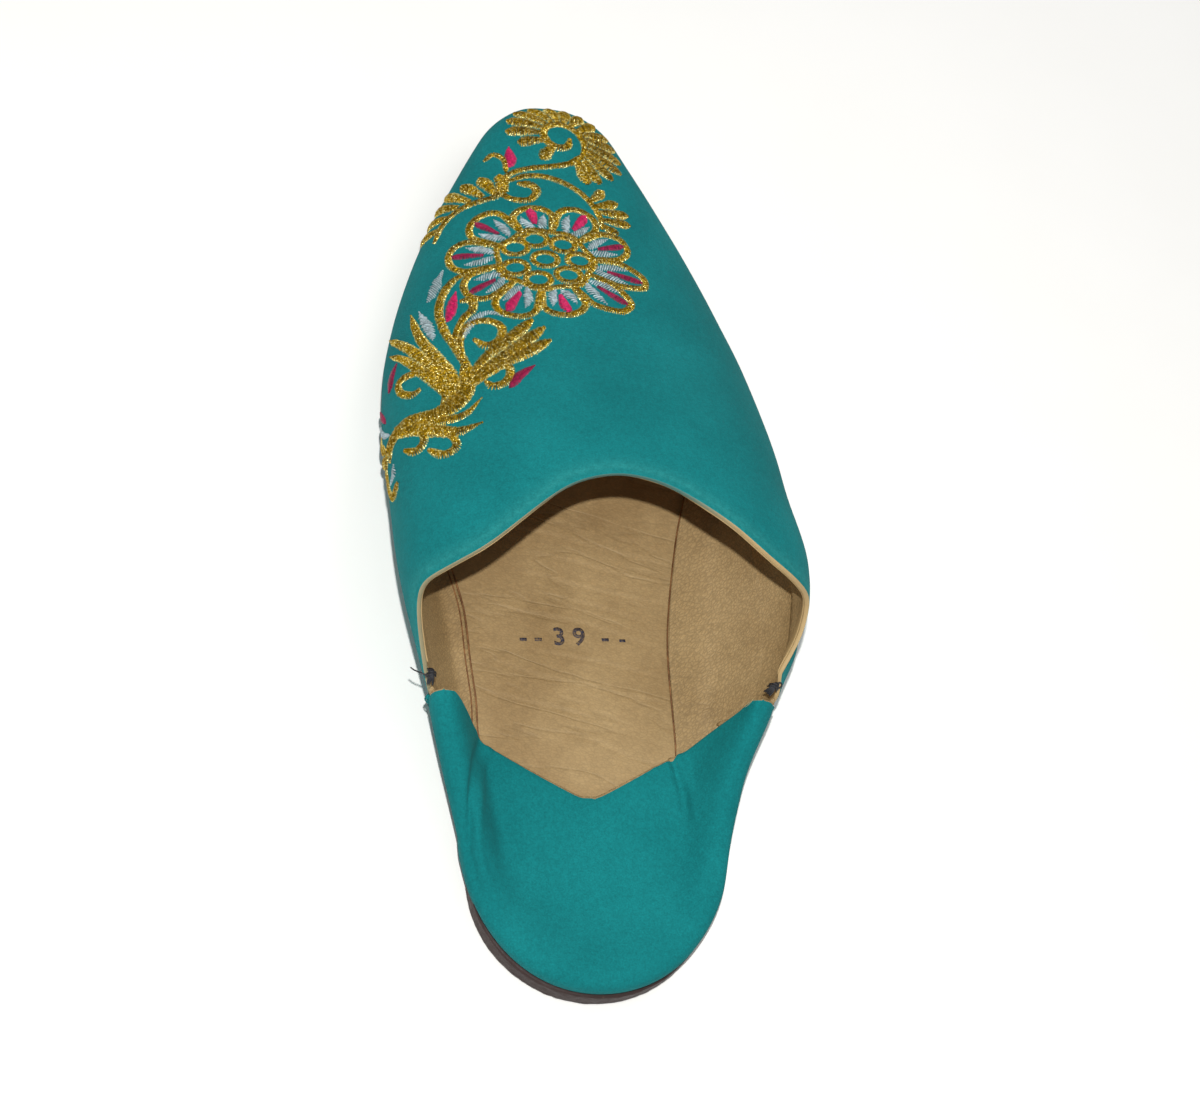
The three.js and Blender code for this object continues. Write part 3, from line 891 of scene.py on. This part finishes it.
class SLIPPER_OT_side_linings(bpy.types.Operator):
    """Lays the two side linings from the walls down over the margins of the sock"""
    bl_idname = "slipper.side_linings"
    bl_label = "Side linings"

    def execute(self, context):
        tree = tree_of(made["upper"], made["heel_quarter"])
        bm = bmesh.new()
        for seam, way in ((SEAM_LEFT, -1), (SEAM_RIGHT, 1)):
            stations = []
            for y in range(LINING_START, LINING_END, LINING_PITCH):
                edge = across_at(seam, y)
                climb = 1.0 + LINING_CLIMB * fade(77, 84, y)

                def wall(up):
                    for step in (0, -1, 1):
                        start = spot(edge, y + step, INSOLE_TOP + up)
                        hit = tree.ray_cast(start, Vector((way, 0, 0)))[0]
                        if hit is not None:
                            return hit.x / MM
                    raise RuntimeError("the side lining found no wall at y %d" % y)

                foot = wall(1.4)
                lap = edge + (foot - edge) * 0.55
                # Up over the sock's margin, up the wall, and back down inside the leather.
                profile = [
                    (edge, -0.35), (edge - way * 0.05, 0.25), (edge + way * 0.45, 0.55), (lap, 0.5),
                    (foot - way * 1.6, 0.75)]
                for share in (0.35, 0.7, 1.0):
                    up = 1.0 + climb * share
                    profile.append((wall(up) - way * 0.45 * (1.15 - share), up))
                profile += [
                    (wall(1.0 + climb) + way * 0.5, climb + 1.0), (foot + way * 0.5, -0.2), (lap, -0.4)]
                stations.append([spot(x, y, INSOLE_TOP + z) for x, z in profile])
            sweep(bm, stations)
        bmesh.ops.recalc_face_normals(bm, faces=bm.faces)
        mesh = fine(mesh_of(bm, "side_linings"), 2)
        link(mesh, "side_linings", ["side_lining_leather"])
        return {"FINISHED"}


class SLIPPER_OT_lining_seams(bpy.types.Operator):
    """Runs the brown glue lines along the edges of the side linings"""
    bl_idname = "slipper.lining_seams"
    bl_label = "Lining seams"

    def execute(self, context):
        bm = bmesh.new()
        # Each line's seam, how far it lies outward from it, its height over the sock, and its radius.
        lines = ((SEAM_LEFT, -0.15, 0.02, 0.3), (SEAM_LEFT, 1.3, 0.5, 0.22), (SEAM_RIGHT, -0.2, 0.02, 0.24))
        for seam, outward, rise, radius in lines:
            way = math.copysign(1, seam[0][0])
            route = [spot(x + way * outward, y, INSOLE_TOP + rise) for x, y in seam]
            tube(bm, smooth_route(route, 1.5 * MM), radius * MM)
        bmesh.ops.recalc_face_normals(bm, faces=bm.faces)
        link(mesh_of(bm, "lining_seams"), "lining_seams", ["brown_seam_glue"])
        return {"FINISHED"}


class SLIPPER_OT_collar_hem(bpy.types.Operator):
    """Turns the lining's hem along the inside of the collar, widest at the sides"""
    bl_idname = "slipper.collar_hem"
    bl_label = "Collar hem"

    def execute(self, context):
        tree = tree_of(made["upper"])
        route = smooth_route(collar_top(1), 2 * MM)
        count = len(route) - 1
        wide = sizes().hem_width / MM
        rise = sizes().hem_rise / MM
        turn = 0.6                      # millimetres over which the hem curls round the collar's edge
        stations = []
        for i, point in enumerate(route):
            u = i / count
            ahead = (route[min(i + 1, count)] - route[max(i - 1, 0)]).normalized()
            inward = tree.find_nearest(point + Vector((0, 1, -1)) * 1.5 * MM)[1]
            down = inward.cross(ahead).normalized()
            if down.dot(Vector((0, 0.8, -1))) < 0:
                down = -down
            right_side = fade(0.62, 0.82, u) * (1 - 0.6 * fade(0.95, 1, u))
            left_side = (1 - fade(0.2, 0.36, u)) * fade(0, 0.015, u)
            width = 0.4 + (wide - 0.4) * right_side + (wide * 0.3) * left_side

            def at(depth, lift):
                base = point + down * max(depth, turn) * MM
                place, normal = tree.find_nearest(base)[:2]
                if depth < turn:
                    place = place - down * (turn - depth) * MM
                return place + normal * lift * MM

            profile = [
                (0.15, -0.2), (0.2, rise * 0.6), (0.2 + width * 0.25, rise), (width * 0.75, rise * 0.9),
                (width, rise * 0.35), (width + 0.15, -0.25)]
            stations.append([at(depth, lift) for depth, lift in profile])
        bm = bmesh.new()
        sweep(bm, stations)
        bmesh.ops.recalc_face_normals(bm, faces=bm.faces)
        link(fine(mesh_of(bm, "collar_hem"), 1), "collar_hem", ["turned_hem_leather"])
        return {"FINISHED"}


class SLIPPER_OT_bar_tacks(bpy.types.Operator):
    """Ties the black thread tacks where the vamp meets the heel quarter"""
    bl_idname = "slipper.bar_tacks"
    bl_label = "Bar tacks"

    def execute(self, context):
        rng = random.Random(3)
        bm = bmesh.new()

        def strand(points, radius):
            tube(bm, smooth_route(points, 0.35 * MM), radius * MM, 6)

        for end, way, lean in ((0, -1, 0.15), (-1, 1, 0.9)):
            rim = (collar_top(0)[end] + collar_top(1)[end]) / 2
            middle = rim + Vector((-way * 1.9, -3.2, -0.9)) * MM
            ahead = Vector((lean, 1, 0)).normalized()
            aside = Vector((ahead.y, -ahead.x, 0))

            def at(along, across, up):
                return middle + (ahead * along + aside * across + UP * up) * MM

            for k in range(5):
                across = (k - 2) * 0.36
                twist = rng.uniform(-0.5, 0.5)
                high = 0.9 - 0.12 * (k - 2) ** 2 + rng.uniform(-0.1, 0.15)
                strand([
                    at(-2.3, across - twist, high - 2.0), at(-1.4, across, high - 0.6),
                    at(0, across * 0.8, high), at(1.3, across + twist, high - 0.3),
                    at(2.1, across + twist, high - 1.8)], 0.26)
            for along in (-0.7, 0.1):
                strand([
                    at(along, -1.4, -0.8), at(along, -0.9, 0.7), at(along + 0.3, 0, 1.25),
                    at(along + 0.5, 0.9, 0.7), at(along + 0.5, 1.4, -0.8)], 0.24)
            if way > 0:
                strand([
                    at(1.0, 0.2, 0.9), at(1.7, 0.5, 1.0), at(2.1, 1.1, 0.6), at(1.7, 1.6, 0.1),
                    at(1.1, 1.3, -0.7)], 0.24)
        left = (collar_top(0)[0] + collar_top(1)[0]) / 2
        loose_end = ((1.0, -4, -0.3), (-0.8, -3.2, -0.2), (-2.4, -2.2, -1.0), (-3.4, -0.8, -2.2))
        strand([left + Vector(v) * MM for v in loose_end], 0.22)
        bmesh.ops.recalc_face_normals(bm, faces=bm.faces)
        link(mesh_of(bm, "bar_tacks"), "bar_tacks", ["black_linen_thread"])
        return {"FINISHED"}


# Heights and widths on the side seams, in millimetres.
ROLL_FOOT = 10                  # the inner rolls start here, over the sock
WELT_TOP = 29                   # the welts and the inner rolls end here, under the tacks
SEWN_TOP = 24                   # the whip stitches end here
WELT_INSIDE = 34.5              # nearer the middle than this the wall is too thin for a welt


class SLIPPER_OT_side_seams(bpy.types.Operator):
    """Closes the side seams with a thin suede welt, whip stitches and a roll of lining inside"""
    bl_idname = "slipper.side_seams"
    bl_label = "Side seams"

    def execute(self, context):
        welt, thread, roll = bmesh.new(), bmesh.new(), bmesh.new()
        outside = above_seam(made["collar"][0])[1:]
        inside = above_seam(made["collar"][1])[1:]
        for route, inner in zip(outside, inside):
            way = math.copysign(1, route[0].x)
            inner = smooth_route([p for p in inner if ROLL_FOOT * MM < p.z < WELT_TOP * MM], 1.5 * MM)
            tube(roll, [p + Vector((0, -0.6, 0)) * MM for p in inner], 0.9 * MM)
            line = [p for p in route if p.z < WELT_TOP * MM and abs(p.x) > WELT_INSIDE * MM]
            line = [p + Vector((-way * 0.1, -0.6, 0)) * MM for p in smooth_route(line, 1.2 * MM)]
            tube(welt, line, 0.85 * MM)
            sewn = [p for p in line if p.z < SEWN_TOP * MM]
            for low, high in zip(sewn[1::3], sewn[3::3]):
                stitch = [
                    low + Vector((way * 0.1, 2.2, 0)) * MM,
                    (low + high) / 2 + Vector((way * 1.2, 0, 0)) * MM,
                    high + Vector((way * 0.1, -2.0, 0)) * MM]
                tube(thread, smooth_route(stitch, 0.5 * MM), 0.22 * MM, 6)
        for bm, name, look, slot in (
                (welt, "side_welts", "turquoise_suede", "suede"),
                (thread, "side_stitches", "turquoise_rayon_thread", "suede"),
                (roll, "inner_rolls", "side_lining_leather", "tan_leather")):
            bmesh.ops.recalc_face_normals(bm, faces=bm.faces)
            link(mesh_of(bm, name), name, [look])
        return {"FINISHED"}


STAMP_LINE = 102.4              # foot of the number, in mm from the heel


class SLIPPER_OT_size_stamp(bpy.types.Operator):
    """Prints a plain size number with dashes across the sock"""
    bl_idname = "slipper.size_stamp"
    bl_label = "Size stamp"

    def execute(self, context):
        tree = tree_of(made["insole"])
        bm = bmesh.new()
        # Each mark, its x and its height.
        for text, x, height in (("39", -6.2, 5.6), ("--", -16.0, 5.4), ("-", 8.0, 5.4), ("-", 13.2, 4.6)):
            curve = bpy.data.curves.new("stamp", "FONT")
            curve.body = text
            curve.size = height * 1.35 * MM
            curve.space_character = 1.55
            curve.extrude = 0.02 * MM
            curve.offset = 0.16 * MM
            holder = bpy.data.objects.new("stamp", curve)
            context.scene.collection.objects.link(holder)
            graph = context.evaluated_depsgraph_get()
            letters = bpy.data.meshes.new_from_object(holder.evaluated_get(graph))
            bpy.data.objects.remove(holder)
            begin = len(bm.verts)
            bm.from_mesh(letters)
            bm.verts.ensure_lookup_table()
            for vertex in bm.verts[begin:]:
                vertex.co += spot(x, STAMP_LINE, 0)
        bmesh.ops.remove_doubles(bm, verts=bm.verts, dist=0.001 * MM)
        tilt = Matrix.Rotation(math.radians(2), 3, "Z")
        bmesh.ops.rotate(bm, verts=bm.verts, cent=spot(0, 104, 0), matrix=tilt)
        for vertex in bm.verts:
            lift = vertex.co.z
            above = Vector((vertex.co.x, vertex.co.y, 50 * MM))
            hit = tree.ray_cast(above, -UP)[0]
            vertex.co.z = hit.z + lift + 0.05 * MM
        link(mesh_of(bm, "size_stamp"), "size_stamp", ["worn_stamp_ink"])
        return {"FINISHED"}


# ------------------------------------------------------------------ embroidery
# The pattern, charted in millimetres: across from the centre line of the vamp (left is negative),
# and along from the back of the heel.
LINE, FINE, BROAD = 2.3, 2.1, 3.0      # widths of the satin lines
SILVER_PITCH = 1.4                     # the silver is laid more openly than the rest
SLACK = {"gold": 0.07, "pink": 0.07, "crimson": 0.07, "silver": 0.22}   # how unevenly each is laid

TOE_SCROLL = [
    (6, 250), (8, 254), (8, 258), (6, 262), (2, 264), (-2, 263), (-4, 260), (-3, 256), (0, 254),
    (3, 255), (4, 258)]
TOE_STEMS = [
    [(7, 252), (3, 248), (-3, 246), (-10, 245), (-16, 243), (-19, 239)],
    [(-17, 240), (-11, 242), (-4, 241), (3, 237), (7, 232), (9, 227), (9, 222)],
]
# From the scroll to each tip, the fan of lobes round the toe.
TOE_FAN = [
    ((-4, 257), (-12, 256)), ((-1, 255), (-6, 249)), ((-5, 260), (-15, 261)), ((-4, 262), (-14, 266)),
    ((-3, 264), (-11, 270)), ((-1, 265), (-6, 272)), ((1, 265), (0, 273)), ((3, 265), (5, 272)),
    ((5, 264), (10, 270)), ((7, 262), (14, 267)), ((8, 261), (18, 262)), ((8, 259), (20, 258)),
    ((8, 257), (21, 253)), ((8, 255), (20, 248)), ((8, 253), (16, 244)), ((7, 251), (11, 241)),
    ((5, 250), (7, 240)),
]
LEFT_BRANCH = [(-18, 236), (-22, 234), (-28, 233), (-34, 231), (-39, 227), (-42, 221)]
LEFT_LOBES = [
    ((-18, 236), (-19, 243)), ((-21, 235), (-25, 243)), ((-25, 235), (-31, 242)),
    ((-29, 234), (-38, 241)), ((-33, 233), (-44, 237)), ((-37, 230), (-48, 232)),
    ((-40, 226), (-50, 226)),
]
CURL = [(-19, 241), (-20, 237), (-17, 233), (-12, 232), (-9, 235), (-10, 238), (-14, 239)]
RIGHT_LOBES = [
    ((7, 233), (12, 238)), ((8, 231), (16, 234)), ((9, 229), (19, 230)), ((9, 226), (19, 226)),
    ((9, 224), (14, 221)),
]
FLOWER = (-10, 208)
HEART = (13.4, 11.4)            # half the flower's oval middle, across and along
# Tip of each petal from the middle of the flower, and how pointed it is.
PETALS = [
    (-20, 18, 0.0), (-2, 22, 0.0), (16, 20, 0.1), (27, 9, 0.3), (31, -6, 0.6), (24, -17, 0.6),
    (4, -23, 0.0), (-15, -22, 0.0), (-25, -12, 0.1), (-29, 5, 0.1)]
BRIGHT_PETALS = (1, 2, 6, 7)
BEADS = [(-8, 5), (-2, 8), (6, 6), (10, 0), (6, -6), (-3, -8), (-9, -3), (0, 0)]
BEAD, HEART_RIM = (3.6, 2.8), (14, 11.6)        # half the size of one ring, and of the ring round them all
MAIN_STEM = [
    (-31, 206), (-37, 203), (-41, 198), (-43, 191), (-42, 183), (-40, 177), (-38, 170), (-37, 164),
    (-38, 158), (-42, 153), (-48, 151), (-55, 152), (-62, 151), (-69, 147), (-73, 140)]
CURLS = [
    [(-40, 174), (-39, 181), (-36, 187), (-33, 190), (-33, 194), (-36, 194)],
    [(-38, 170), (-38, 178), (-35, 184), (-30, 185), (-26, 182), (-27, 177), (-31, 175), (-34, 178)],
    [(-37, 161), (-34, 165), (-30, 168), (-26, 166), (-27, 161), (-31, 159), (-33, 161)],
    [(-47, 153), (-45, 158), (-45, 163), (-48, 168), (-54, 170), (-59, 169), (-59, 165), (-55, 162),
     (-52, 163)],
    [(-68, 143), (-66, 147), (-61, 150), (-55, 149), (-53, 144), (-56, 141), (-60, 143)],
    [(-55, 148), (-49, 145), (-45, 143), (-44, 139), (-48, 137), (-52, 140)],
    [(-72, 142), (-72, 135), (-69, 131), (-65, 134)],
]
# Broad leaves: the route of the middle, the width, and the shape of the column.
LEAVES = [
    ([(-39, 168), (-39, 160), (-42, 155), (-49, 152), (-58, 153), (-66, 151)], 5.4, "leaf"),
    ([(-40, 156), (-42, 164), (-46, 174), (-50, 184), (-52, 194)], 5.4, "horn"),
    ([(-42, 154), (-44, 163), (-49, 173), (-55, 182), (-63, 190)], 5.6, "horn"),
    ([(-43, 153), (-46, 162), (-51, 170), (-56, 177), (-62, 182)], 5.0, "horn"),
    ([(-38, 161), (-34, 168), (-28, 174), (-22, 179), (-17, 184)], 4.4, "lobe"),
    ([(-37, 161), (-30, 168), (-22, 174), (-14, 181)], 4.4, "lobe"),
    ([(-36, 161), (-28, 167), (-21, 171), (-13, 176)], 4.4, "lobe"),
    ([(-63, 153), (-54, 151), (-46, 149), (-40, 150), (-35, 155)], 3.6, "leaf"),
    ([(-64, 150), (-56, 149), (-49, 146), (-43, 144), (-36, 146)], 5.4, "leaf"),
    ([(-70, 148), (-76, 153), (-79, 160)], 4.6, "horn"),
    ([(-71, 146), (-78, 148), (-82, 153)], 4.2, "horn"),
]
SMALL_GOLD = [([(-23, 250), (-20, 252), (-17, 249), (-17, 244)], 2.0)]
PINK_LEAVES = [
    ([(-16, 246), (-15, 249), (-15, 254)], 3.8),
    ([(-41, 187), (-39, 192), (-37, 198)], 3.6),
]
CRIMSON_LEAVES = [
    ([(-27, 158), (-24, 162), (-19, 166)], 3.2),
    ([(-64, 168), (-62, 173), (-59, 177)], 3.2),
    ([(-68, 158), (-70, 161), (-73, 166)], 2.8),
]
SILVER_LEAVES = [
    ([(-46, 197), (-43, 202), (-40, 208)], 3.8),
    ([(-46, 181), (-47, 187), (-49, 194)], 3.6),
    ([(-38, 178), (-34, 185), (-29, 188), (-25, 186)], 2.8),
    ([(-66, 141), (-67, 138), (-70, 136)], 2.4),
    ([(-66, 152), (-71, 155), (-76, 162)], 2.2),
]


def satin_width(shape, t):
    """Share of the full width at t along a satin column."""
    if shape == "leaf":
        return max(0.12, math.sin(math.pi * t ** 0.8) ** 0.75)
    if shape == "horn":
        return min(1.0, 0.25 + 2.4 * t) * (1 - 0.6 * t ** 1.8) * min(1.0, 0.3 + 7 * (1 - t))
    if shape == "lobe":
        return min(1.0, 0.45 + 0.9 * t) * max(0.1, 1 - max(0.0, (t - 0.72) / 0.28) ** 2.2) ** 0.5
    if shape == "curl":
        return min(1.0, 0.6 + 0.5 * t) * min(1.0, 0.5 + 6 * min(t, 1 - t))
    if shape == "line":
        return min(1.0, 0.45 + 5 * min(t, 1 - t))
    return 1.0


class Embroidery:
    """Collects satin stitches on the chart, in a list for each thread."""

    def __init__(self):
        self.random = random.Random(7)
        self.stitches = {"gold": [], "pink": [], "crimson": [], "silver": []}

    def satin(self, route, width, thread="gold", shape="line", level=0.0, slant=0.22):
        """A column of stitches across a route. Level is how far it is padded above the suede."""
        pitch = sizes().thread_pitch / MM * (SILVER_PITCH if thread == "silver" else 1.0)
        points = smooth_route([Vector(p) for p in route], pitch)
        closed = shape == "ring"
        last = len(points) - 1
        for i, point in enumerate(points[:last] if closed else points):
            before = points[(i - 1) % last if closed else max(i - 1, 0)]
            after = points[(i + 1) % last if closed else min(i + 1, last)]
            along = (after - before).normalized()
            across = Vector((-along.y, along.x))
            uneven = self.random.uniform(1 - SLACK[thread], 1 + SLACK[thread])
            half = 0.5 * width * satin_width(shape, i / last) * uneven
            reach = (across + along * (slant + self.random.uniform(-0.06, 0.06))) * half
            start, end = point - reach, point + reach
            self.stitches[thread].append((start.x, start.y, end.x, end.y, level, half))

    def ring(self, centre, radii, width, wave=0.0, waves=7, steps=48):
        """A closed oval line, with waves in it where wave is more than 0."""
        points = []
        for k in range(steps + 1):
            angle = 2 * math.pi * k / steps
            swell = 1 + wave * math.cos(waves * angle)
            points.append((
                centre[0] + radii[0] * swell * math.cos(angle),
                centre[1] + radii[1] * swell * math.sin(angle)))
        self.satin(points, width, shape="ring")

    def petal(self, index):
        """The gold outline of a petal with its silver fans and its pink or crimson seed."""
        x, y, point = PETALS[index]
        angle = math.atan2(y, x)
        radius = math.hypot(x, y) - 1.2
        around = []
        for step in (-1, 1):
            other = PETALS[(index - step) % len(PETALS)]
            gap = (math.atan2(other[1], other[0]) - angle + math.pi) % (2 * math.pi) - math.pi
            around.append(gap / 2)

        def at(turn, share):
            a = angle + turn
            inner = 1 / math.hypot(math.cos(a) / HEART[0], math.sin(a) / HEART[1])
            r = inner + (radius - inner) * share
            return Vector((FLOWER[0] + r * math.cos(a), FLOWER[1] + r * math.sin(a)))

        first, second = around
        shoulder = 0.62 - 0.25 * point
        bow = 0.5 - 0.2 * point
        outline = [
            at(first * 0.9, 0.0), at(first * 0.93, 0.35), at(first * 0.86, shoulder + 0.1),
            at(first * bow, 0.93), at(0, 1.0), at(second * bow, 0.93),
            at(second * 0.86, shoulder + 0.1), at(second * 0.93, 0.35), at(second * 0.9, 0.0)]
        self.satin(outline, LINE + 0.2)
        for side in (first, second):
            fan = [at(side * 0.16, 0.08), at(side * 0.44, 0.34), at(side * 0.5, 0.66)]
            self.satin(fan, 2.9, "silver", "leaf", slant=0.5)
        thread, tip, wide = ("pink", 0.9, 3.3) if index in BRIGHT_PETALS else ("crimson", 0.92, 2.5)
        self.satin([at(0, 0.3), at(0, 0.6), at(0, tip)], wide, thread, "lobe", level=0.2, slant=0.35)

    def draw(self):
        """The whole pattern, each later part laid over the earlier ones."""
        for route, width, shape in LEAVES:
            self.satin(route, width, shape=shape, slant=0.3)
        for lobes, width in ((TOE_FAN, 4.5), (LEFT_LOBES, 4.5), (RIGHT_LOBES, 3.9)):
            for base, tip in lobes:
                self.satin([base, Vector(base).lerp(Vector(tip), 0.5), tip], width, shape="lobe")
        for route in [*TOE_STEMS, LEFT_BRANCH]:
            self.satin(route, LINE, level=0.1)
        for route in [TOE_SCROLL, CURL, *CURLS]:
            self.satin(route, BROAD, shape="curl", level=0.1)
        self.satin(MAIN_STEM, BROAD, level=0.15)
        for route, width in SMALL_GOLD:
            self.satin(route, width)
        coloured = (("pink", PINK_LEAVES), ("crimson", CRIMSON_LEAVES), ("silver", SILVER_LEAVES))
        for thread, leaves in coloured:
            for route, width in leaves:
                self.satin(route, width, thread, "leaf", slant=0.5)
        for index in range(len(PETALS)):
            self.petal(index)
        for x, y in BEADS:
            self.ring((FLOWER[0] + x, FLOWER[1] + y), BEAD, FINE)
        self.ring(FLOWER, HEART_RIM, FINE, wave=0.05)


def stitch_template():
    """One stitch: a short round thread along z from 0 to 1, with four lengths and closed ends."""
    bm = bmesh.new()
    bmesh.ops.create_cone(bm, cap_ends=True, segments=5, radius1=1, radius2=1, depth=1)
    bmesh.ops.translate(bm, verts=bm.verts, vec=(0, 0, 0.5))
    for cut in (0.2, 0.5, 0.8):
        everything = bm.verts[:] + bm.edges[:] + bm.faces[:]
        bmesh.ops.bisect_plane(bm, geom=everything, plane_co=(0, 0, cut), plane_no=(0, 0, 1))
    bm.verts.ensure_lookup_table()
    places = np.array([v.co[:] for v in bm.verts])
    faces = [[v.index for v in f.verts] for f in bm.faces]
    bm.free()
    return places, faces


def stitched_mesh(name, stitches, chart, seed):
    """All the stitches of one thread as one mesh, laid on the chart and domed over the suede."""
    places, faces = stitch_template()
    data = np.array(stitches)
    count, size = len(data), len(places)
    start, end, level, half = data[:, 0:2], data[:, 2:4], data[:, 4], data[:, 5]
    span = end - start
    width = np.linalg.norm(span, axis=1)
    side = np.stack([-span[:, 1], span[:, 0]], 1) / np.maximum(width, 1e-6)[:, None]
    t = places[:, 2][None, :]
    radius = sizes().thread_radius / MM * (0.55 + 0.45 * np.sin(np.pi * t) ** 0.5)
    dome = np.sin(np.pi * t) ** 0.6
    rise = sizes().stitch_rise / MM * (0.55 + 0.28 * half)[:, None]
    height = level[:, None] * dome + rise * dome - 0.12 + radius * places[:, 1][None, :]
    flat = start[:, None] + span[:, None] * t[..., None]
    flat = flat + side[:, None] * (radius * places[:, 0][None, :])[..., None]
    points = chart.place(flat[..., 0], flat[..., 1], height).reshape(-1, 3)
    polygons = [[v + base for v in face] for base in range(0, count * size, size) for face in faces]
    mesh = bpy.data.meshes.new(name)
    mesh.from_pydata(points.tolist(), [], polygons)
    # A random amount of painted light and shade for each stitch.
    shade = np.repeat(np.random.default_rng(seed).random(count), size)
    ends = np.tile(np.abs(places[:, 2] * 2 - 1), count)
    lay = (t * width[:, None]).reshape(-1)
    for attribute, values in (("shade", shade), ("ends", ends), ("lay", lay)):
        store(mesh, attribute, values)
    return mesh


class SLIPPER_OT_embroidery(bpy.types.Operator):
    """Works the scrolls, leaves and flower on the vamp in satin stitch"""
    bl_idname = "slipper.embroidery"
    bl_label = "Embroidery"

    def execute(self, context):
        work = Embroidery()
        work.draw()
        chart = made["chart"]
        for seed, thread in enumerate(("gold", "pink", "silver", "crimson")):
            look = "gold_lurex_thread" if thread == "gold" else thread + "_rayon_thread"
            mesh = stitched_mesh(thread + "_embroidery", work.stitches[thread], chart, seed)
            link(mesh, thread + "_embroidery", [look])
        return {"FINISHED"}


# ------------------------------------------------------------------ stage
FOCAL = 7 / 3                   # focal length in widths of the frame
SENSOR = 36                     # width of the sensor in mm
VIEW_AZIMUTH, VIEW_ELEVATION, VIEW_ROLL = -28, 61, 27.9
VIEW_TARGET = (-26.3, 134.4, 20)
VIEW_DISTANCE = 785
AIM_RIGHT, AIM_DOWN = 0.04, 0.014643    # slopes by which the camera aims past that target
FLASH_ABOVE, FLASH_ASIDE = 75, 12       # where the flash stands from the lens, in mm
LIT_SPOT = (0, 139, 20)                 # where every light points


def view_axes():
    """The camera's right, up and back before it aims past its target."""
    azimuth, elevation, roll = (math.radians(a) for a in (VIEW_AZIMUTH, VIEW_ELEVATION, VIEW_ROLL))
    back = Vector((
        math.sin(azimuth) * math.cos(elevation), -math.cos(azimuth) * math.cos(elevation),
        math.sin(elevation)))
    right = (-back).cross(UP).normalized()
    up = right.cross(-back)
    return (
        right * math.cos(roll) + up * math.sin(roll),
        up * math.cos(roll) - right * math.sin(roll), back)


class SLIPPER_OT_stage(bpy.types.Operator):
    """Sets the floor, the lights and the camera"""
    bl_idname = "slipper.stage"
    bl_label = "Stage"

    def execute(self, context):
        scene = context.scene
        right, up, back = view_axes()
        eye = spot(*VIEW_TARGET) + back * VIEW_DISTANCE * MM
        aim = (right * AIM_RIGHT - up * AIM_DOWN - back).normalized()
        side = aim.cross(up).normalized()
        over = side.cross(aim)

        lens = bpy.data.cameras.new("camera")
        lens.sensor_width = SENSOR
        lens.lens = SENSOR * FOCAL
        lens.clip_start = 0.05
        camera = bpy.data.objects.new("camera", lens)
        scene.collection.objects.link(camera)
        camera.matrix_world = Matrix.Translation(eye) @ Matrix((side, over, -aim)).transposed().to_4x4()
        scene.camera = camera

        def area_light(name, place, size, watts, tint):
            """A round soft light, its size in metres, turned to the slipper."""
            light = bpy.data.lights.new(name, "AREA")
            light.shape = "DISK"
            light.size = size
            light.energy = watts
            light.color = tint
            holder = bpy.data.objects.new(name, light)
            scene.collection.objects.link(holder)
            holder.location = place
            toward = (spot(*LIT_SPOT) - place).normalized()
            holder.rotation_euler = toward.to_track_quat("-Z", "Y").to_euler()

        flash = eye + (over * FLASH_ABOVE + side * FLASH_ASIDE) * MM
        area_light("key_light", flash, 0.014, 5.7, (1.0, 0.985, 0.955))
        area_light("soft_light", spot(-250, 100, 900), 0.9, 0.6, (0.97, 0.99, 1.0))
        area_light("far_light", spot(350, 500, 600), 0.7, 1.5, (1.0, 0.99, 0.97))

        world = bpy.data.worlds.new("studio")
        world.use_nodes = True
        background = world.node_tree.nodes["Background"]
        background.inputs["Color"].default_value = (1, 1, 1, 1)
        background.inputs["Strength"].default_value = 0.27
        scene.world = world
        scene.view_settings.view_transform = "Standard"

        bm = bmesh.new()
        bmesh.ops.create_grid(bm, x_segments=8, y_segments=8, size=3.0)
        mesh = mesh_of(bm, "floor")
        mesh.materials.append(finish("pale_painted_board"))
        floor = bpy.data.objects.new("floor", mesh)
        scene.collection.objects.link(floor)
        return {"FINISHED"}


class SLIPPER_PT_panel(bpy.types.Panel):
    """Lists the pieces of the slipper and their sizes and colours"""
    bl_idname = "SLIPPER_PT_panel"
    bl_label = "Babouche slipper"
    bl_space_type = "VIEW_3D"
    bl_region_type = "UI"
    bl_category = "Slipper"

    def draw(self, context):
        for operator in OPERATORS:
            self.layout.operator(operator.bl_idname)
        for group in (context.scene.slipper_sizes, context.scene.slipper_colours):
            for name in group.bl_rna.properties.keys():
                if name not in ("rna_type", "name"):
                    self.layout.prop(group, name)


OPERATORS = [
    SLIPPER_OT_outsole, SLIPPER_OT_insole, SLIPPER_OT_upper, SLIPPER_OT_heel_quarter,
    SLIPPER_OT_side_linings, SLIPPER_OT_lining_seams, SLIPPER_OT_collar_hem, SLIPPER_OT_bar_tacks,
    SLIPPER_OT_side_seams, SLIPPER_OT_size_stamp, SLIPPER_OT_embroidery, SLIPPER_OT_stage,
]
CLASSES = [SlipperSizes, SlipperColours, *OPERATORS, SLIPPER_PT_panel]


def register():
    for cls in CLASSES:
        bpy.utils.register_class(cls)
    bpy.types.Scene.slipper_sizes = PointerProperty(type=SlipperSizes)
    bpy.types.Scene.slipper_colours = PointerProperty(type=SlipperColours)


def unregister():
    del bpy.types.Scene.slipper_sizes
    del bpy.types.Scene.slipper_colours
    for cls in reversed(CLASSES):
        bpy.utils.unregister_class(cls)


def run(operator):
    """Calls an operator through bpy.ops."""
    group, name = operator.bl_idname.split(".")
    getattr(getattr(bpy.ops, group), name)()


def main():
    """Makes every piece in order."""
    register()
    for operator in OPERATORS:
        run(operator)


if __name__ == "__main__":
    main()
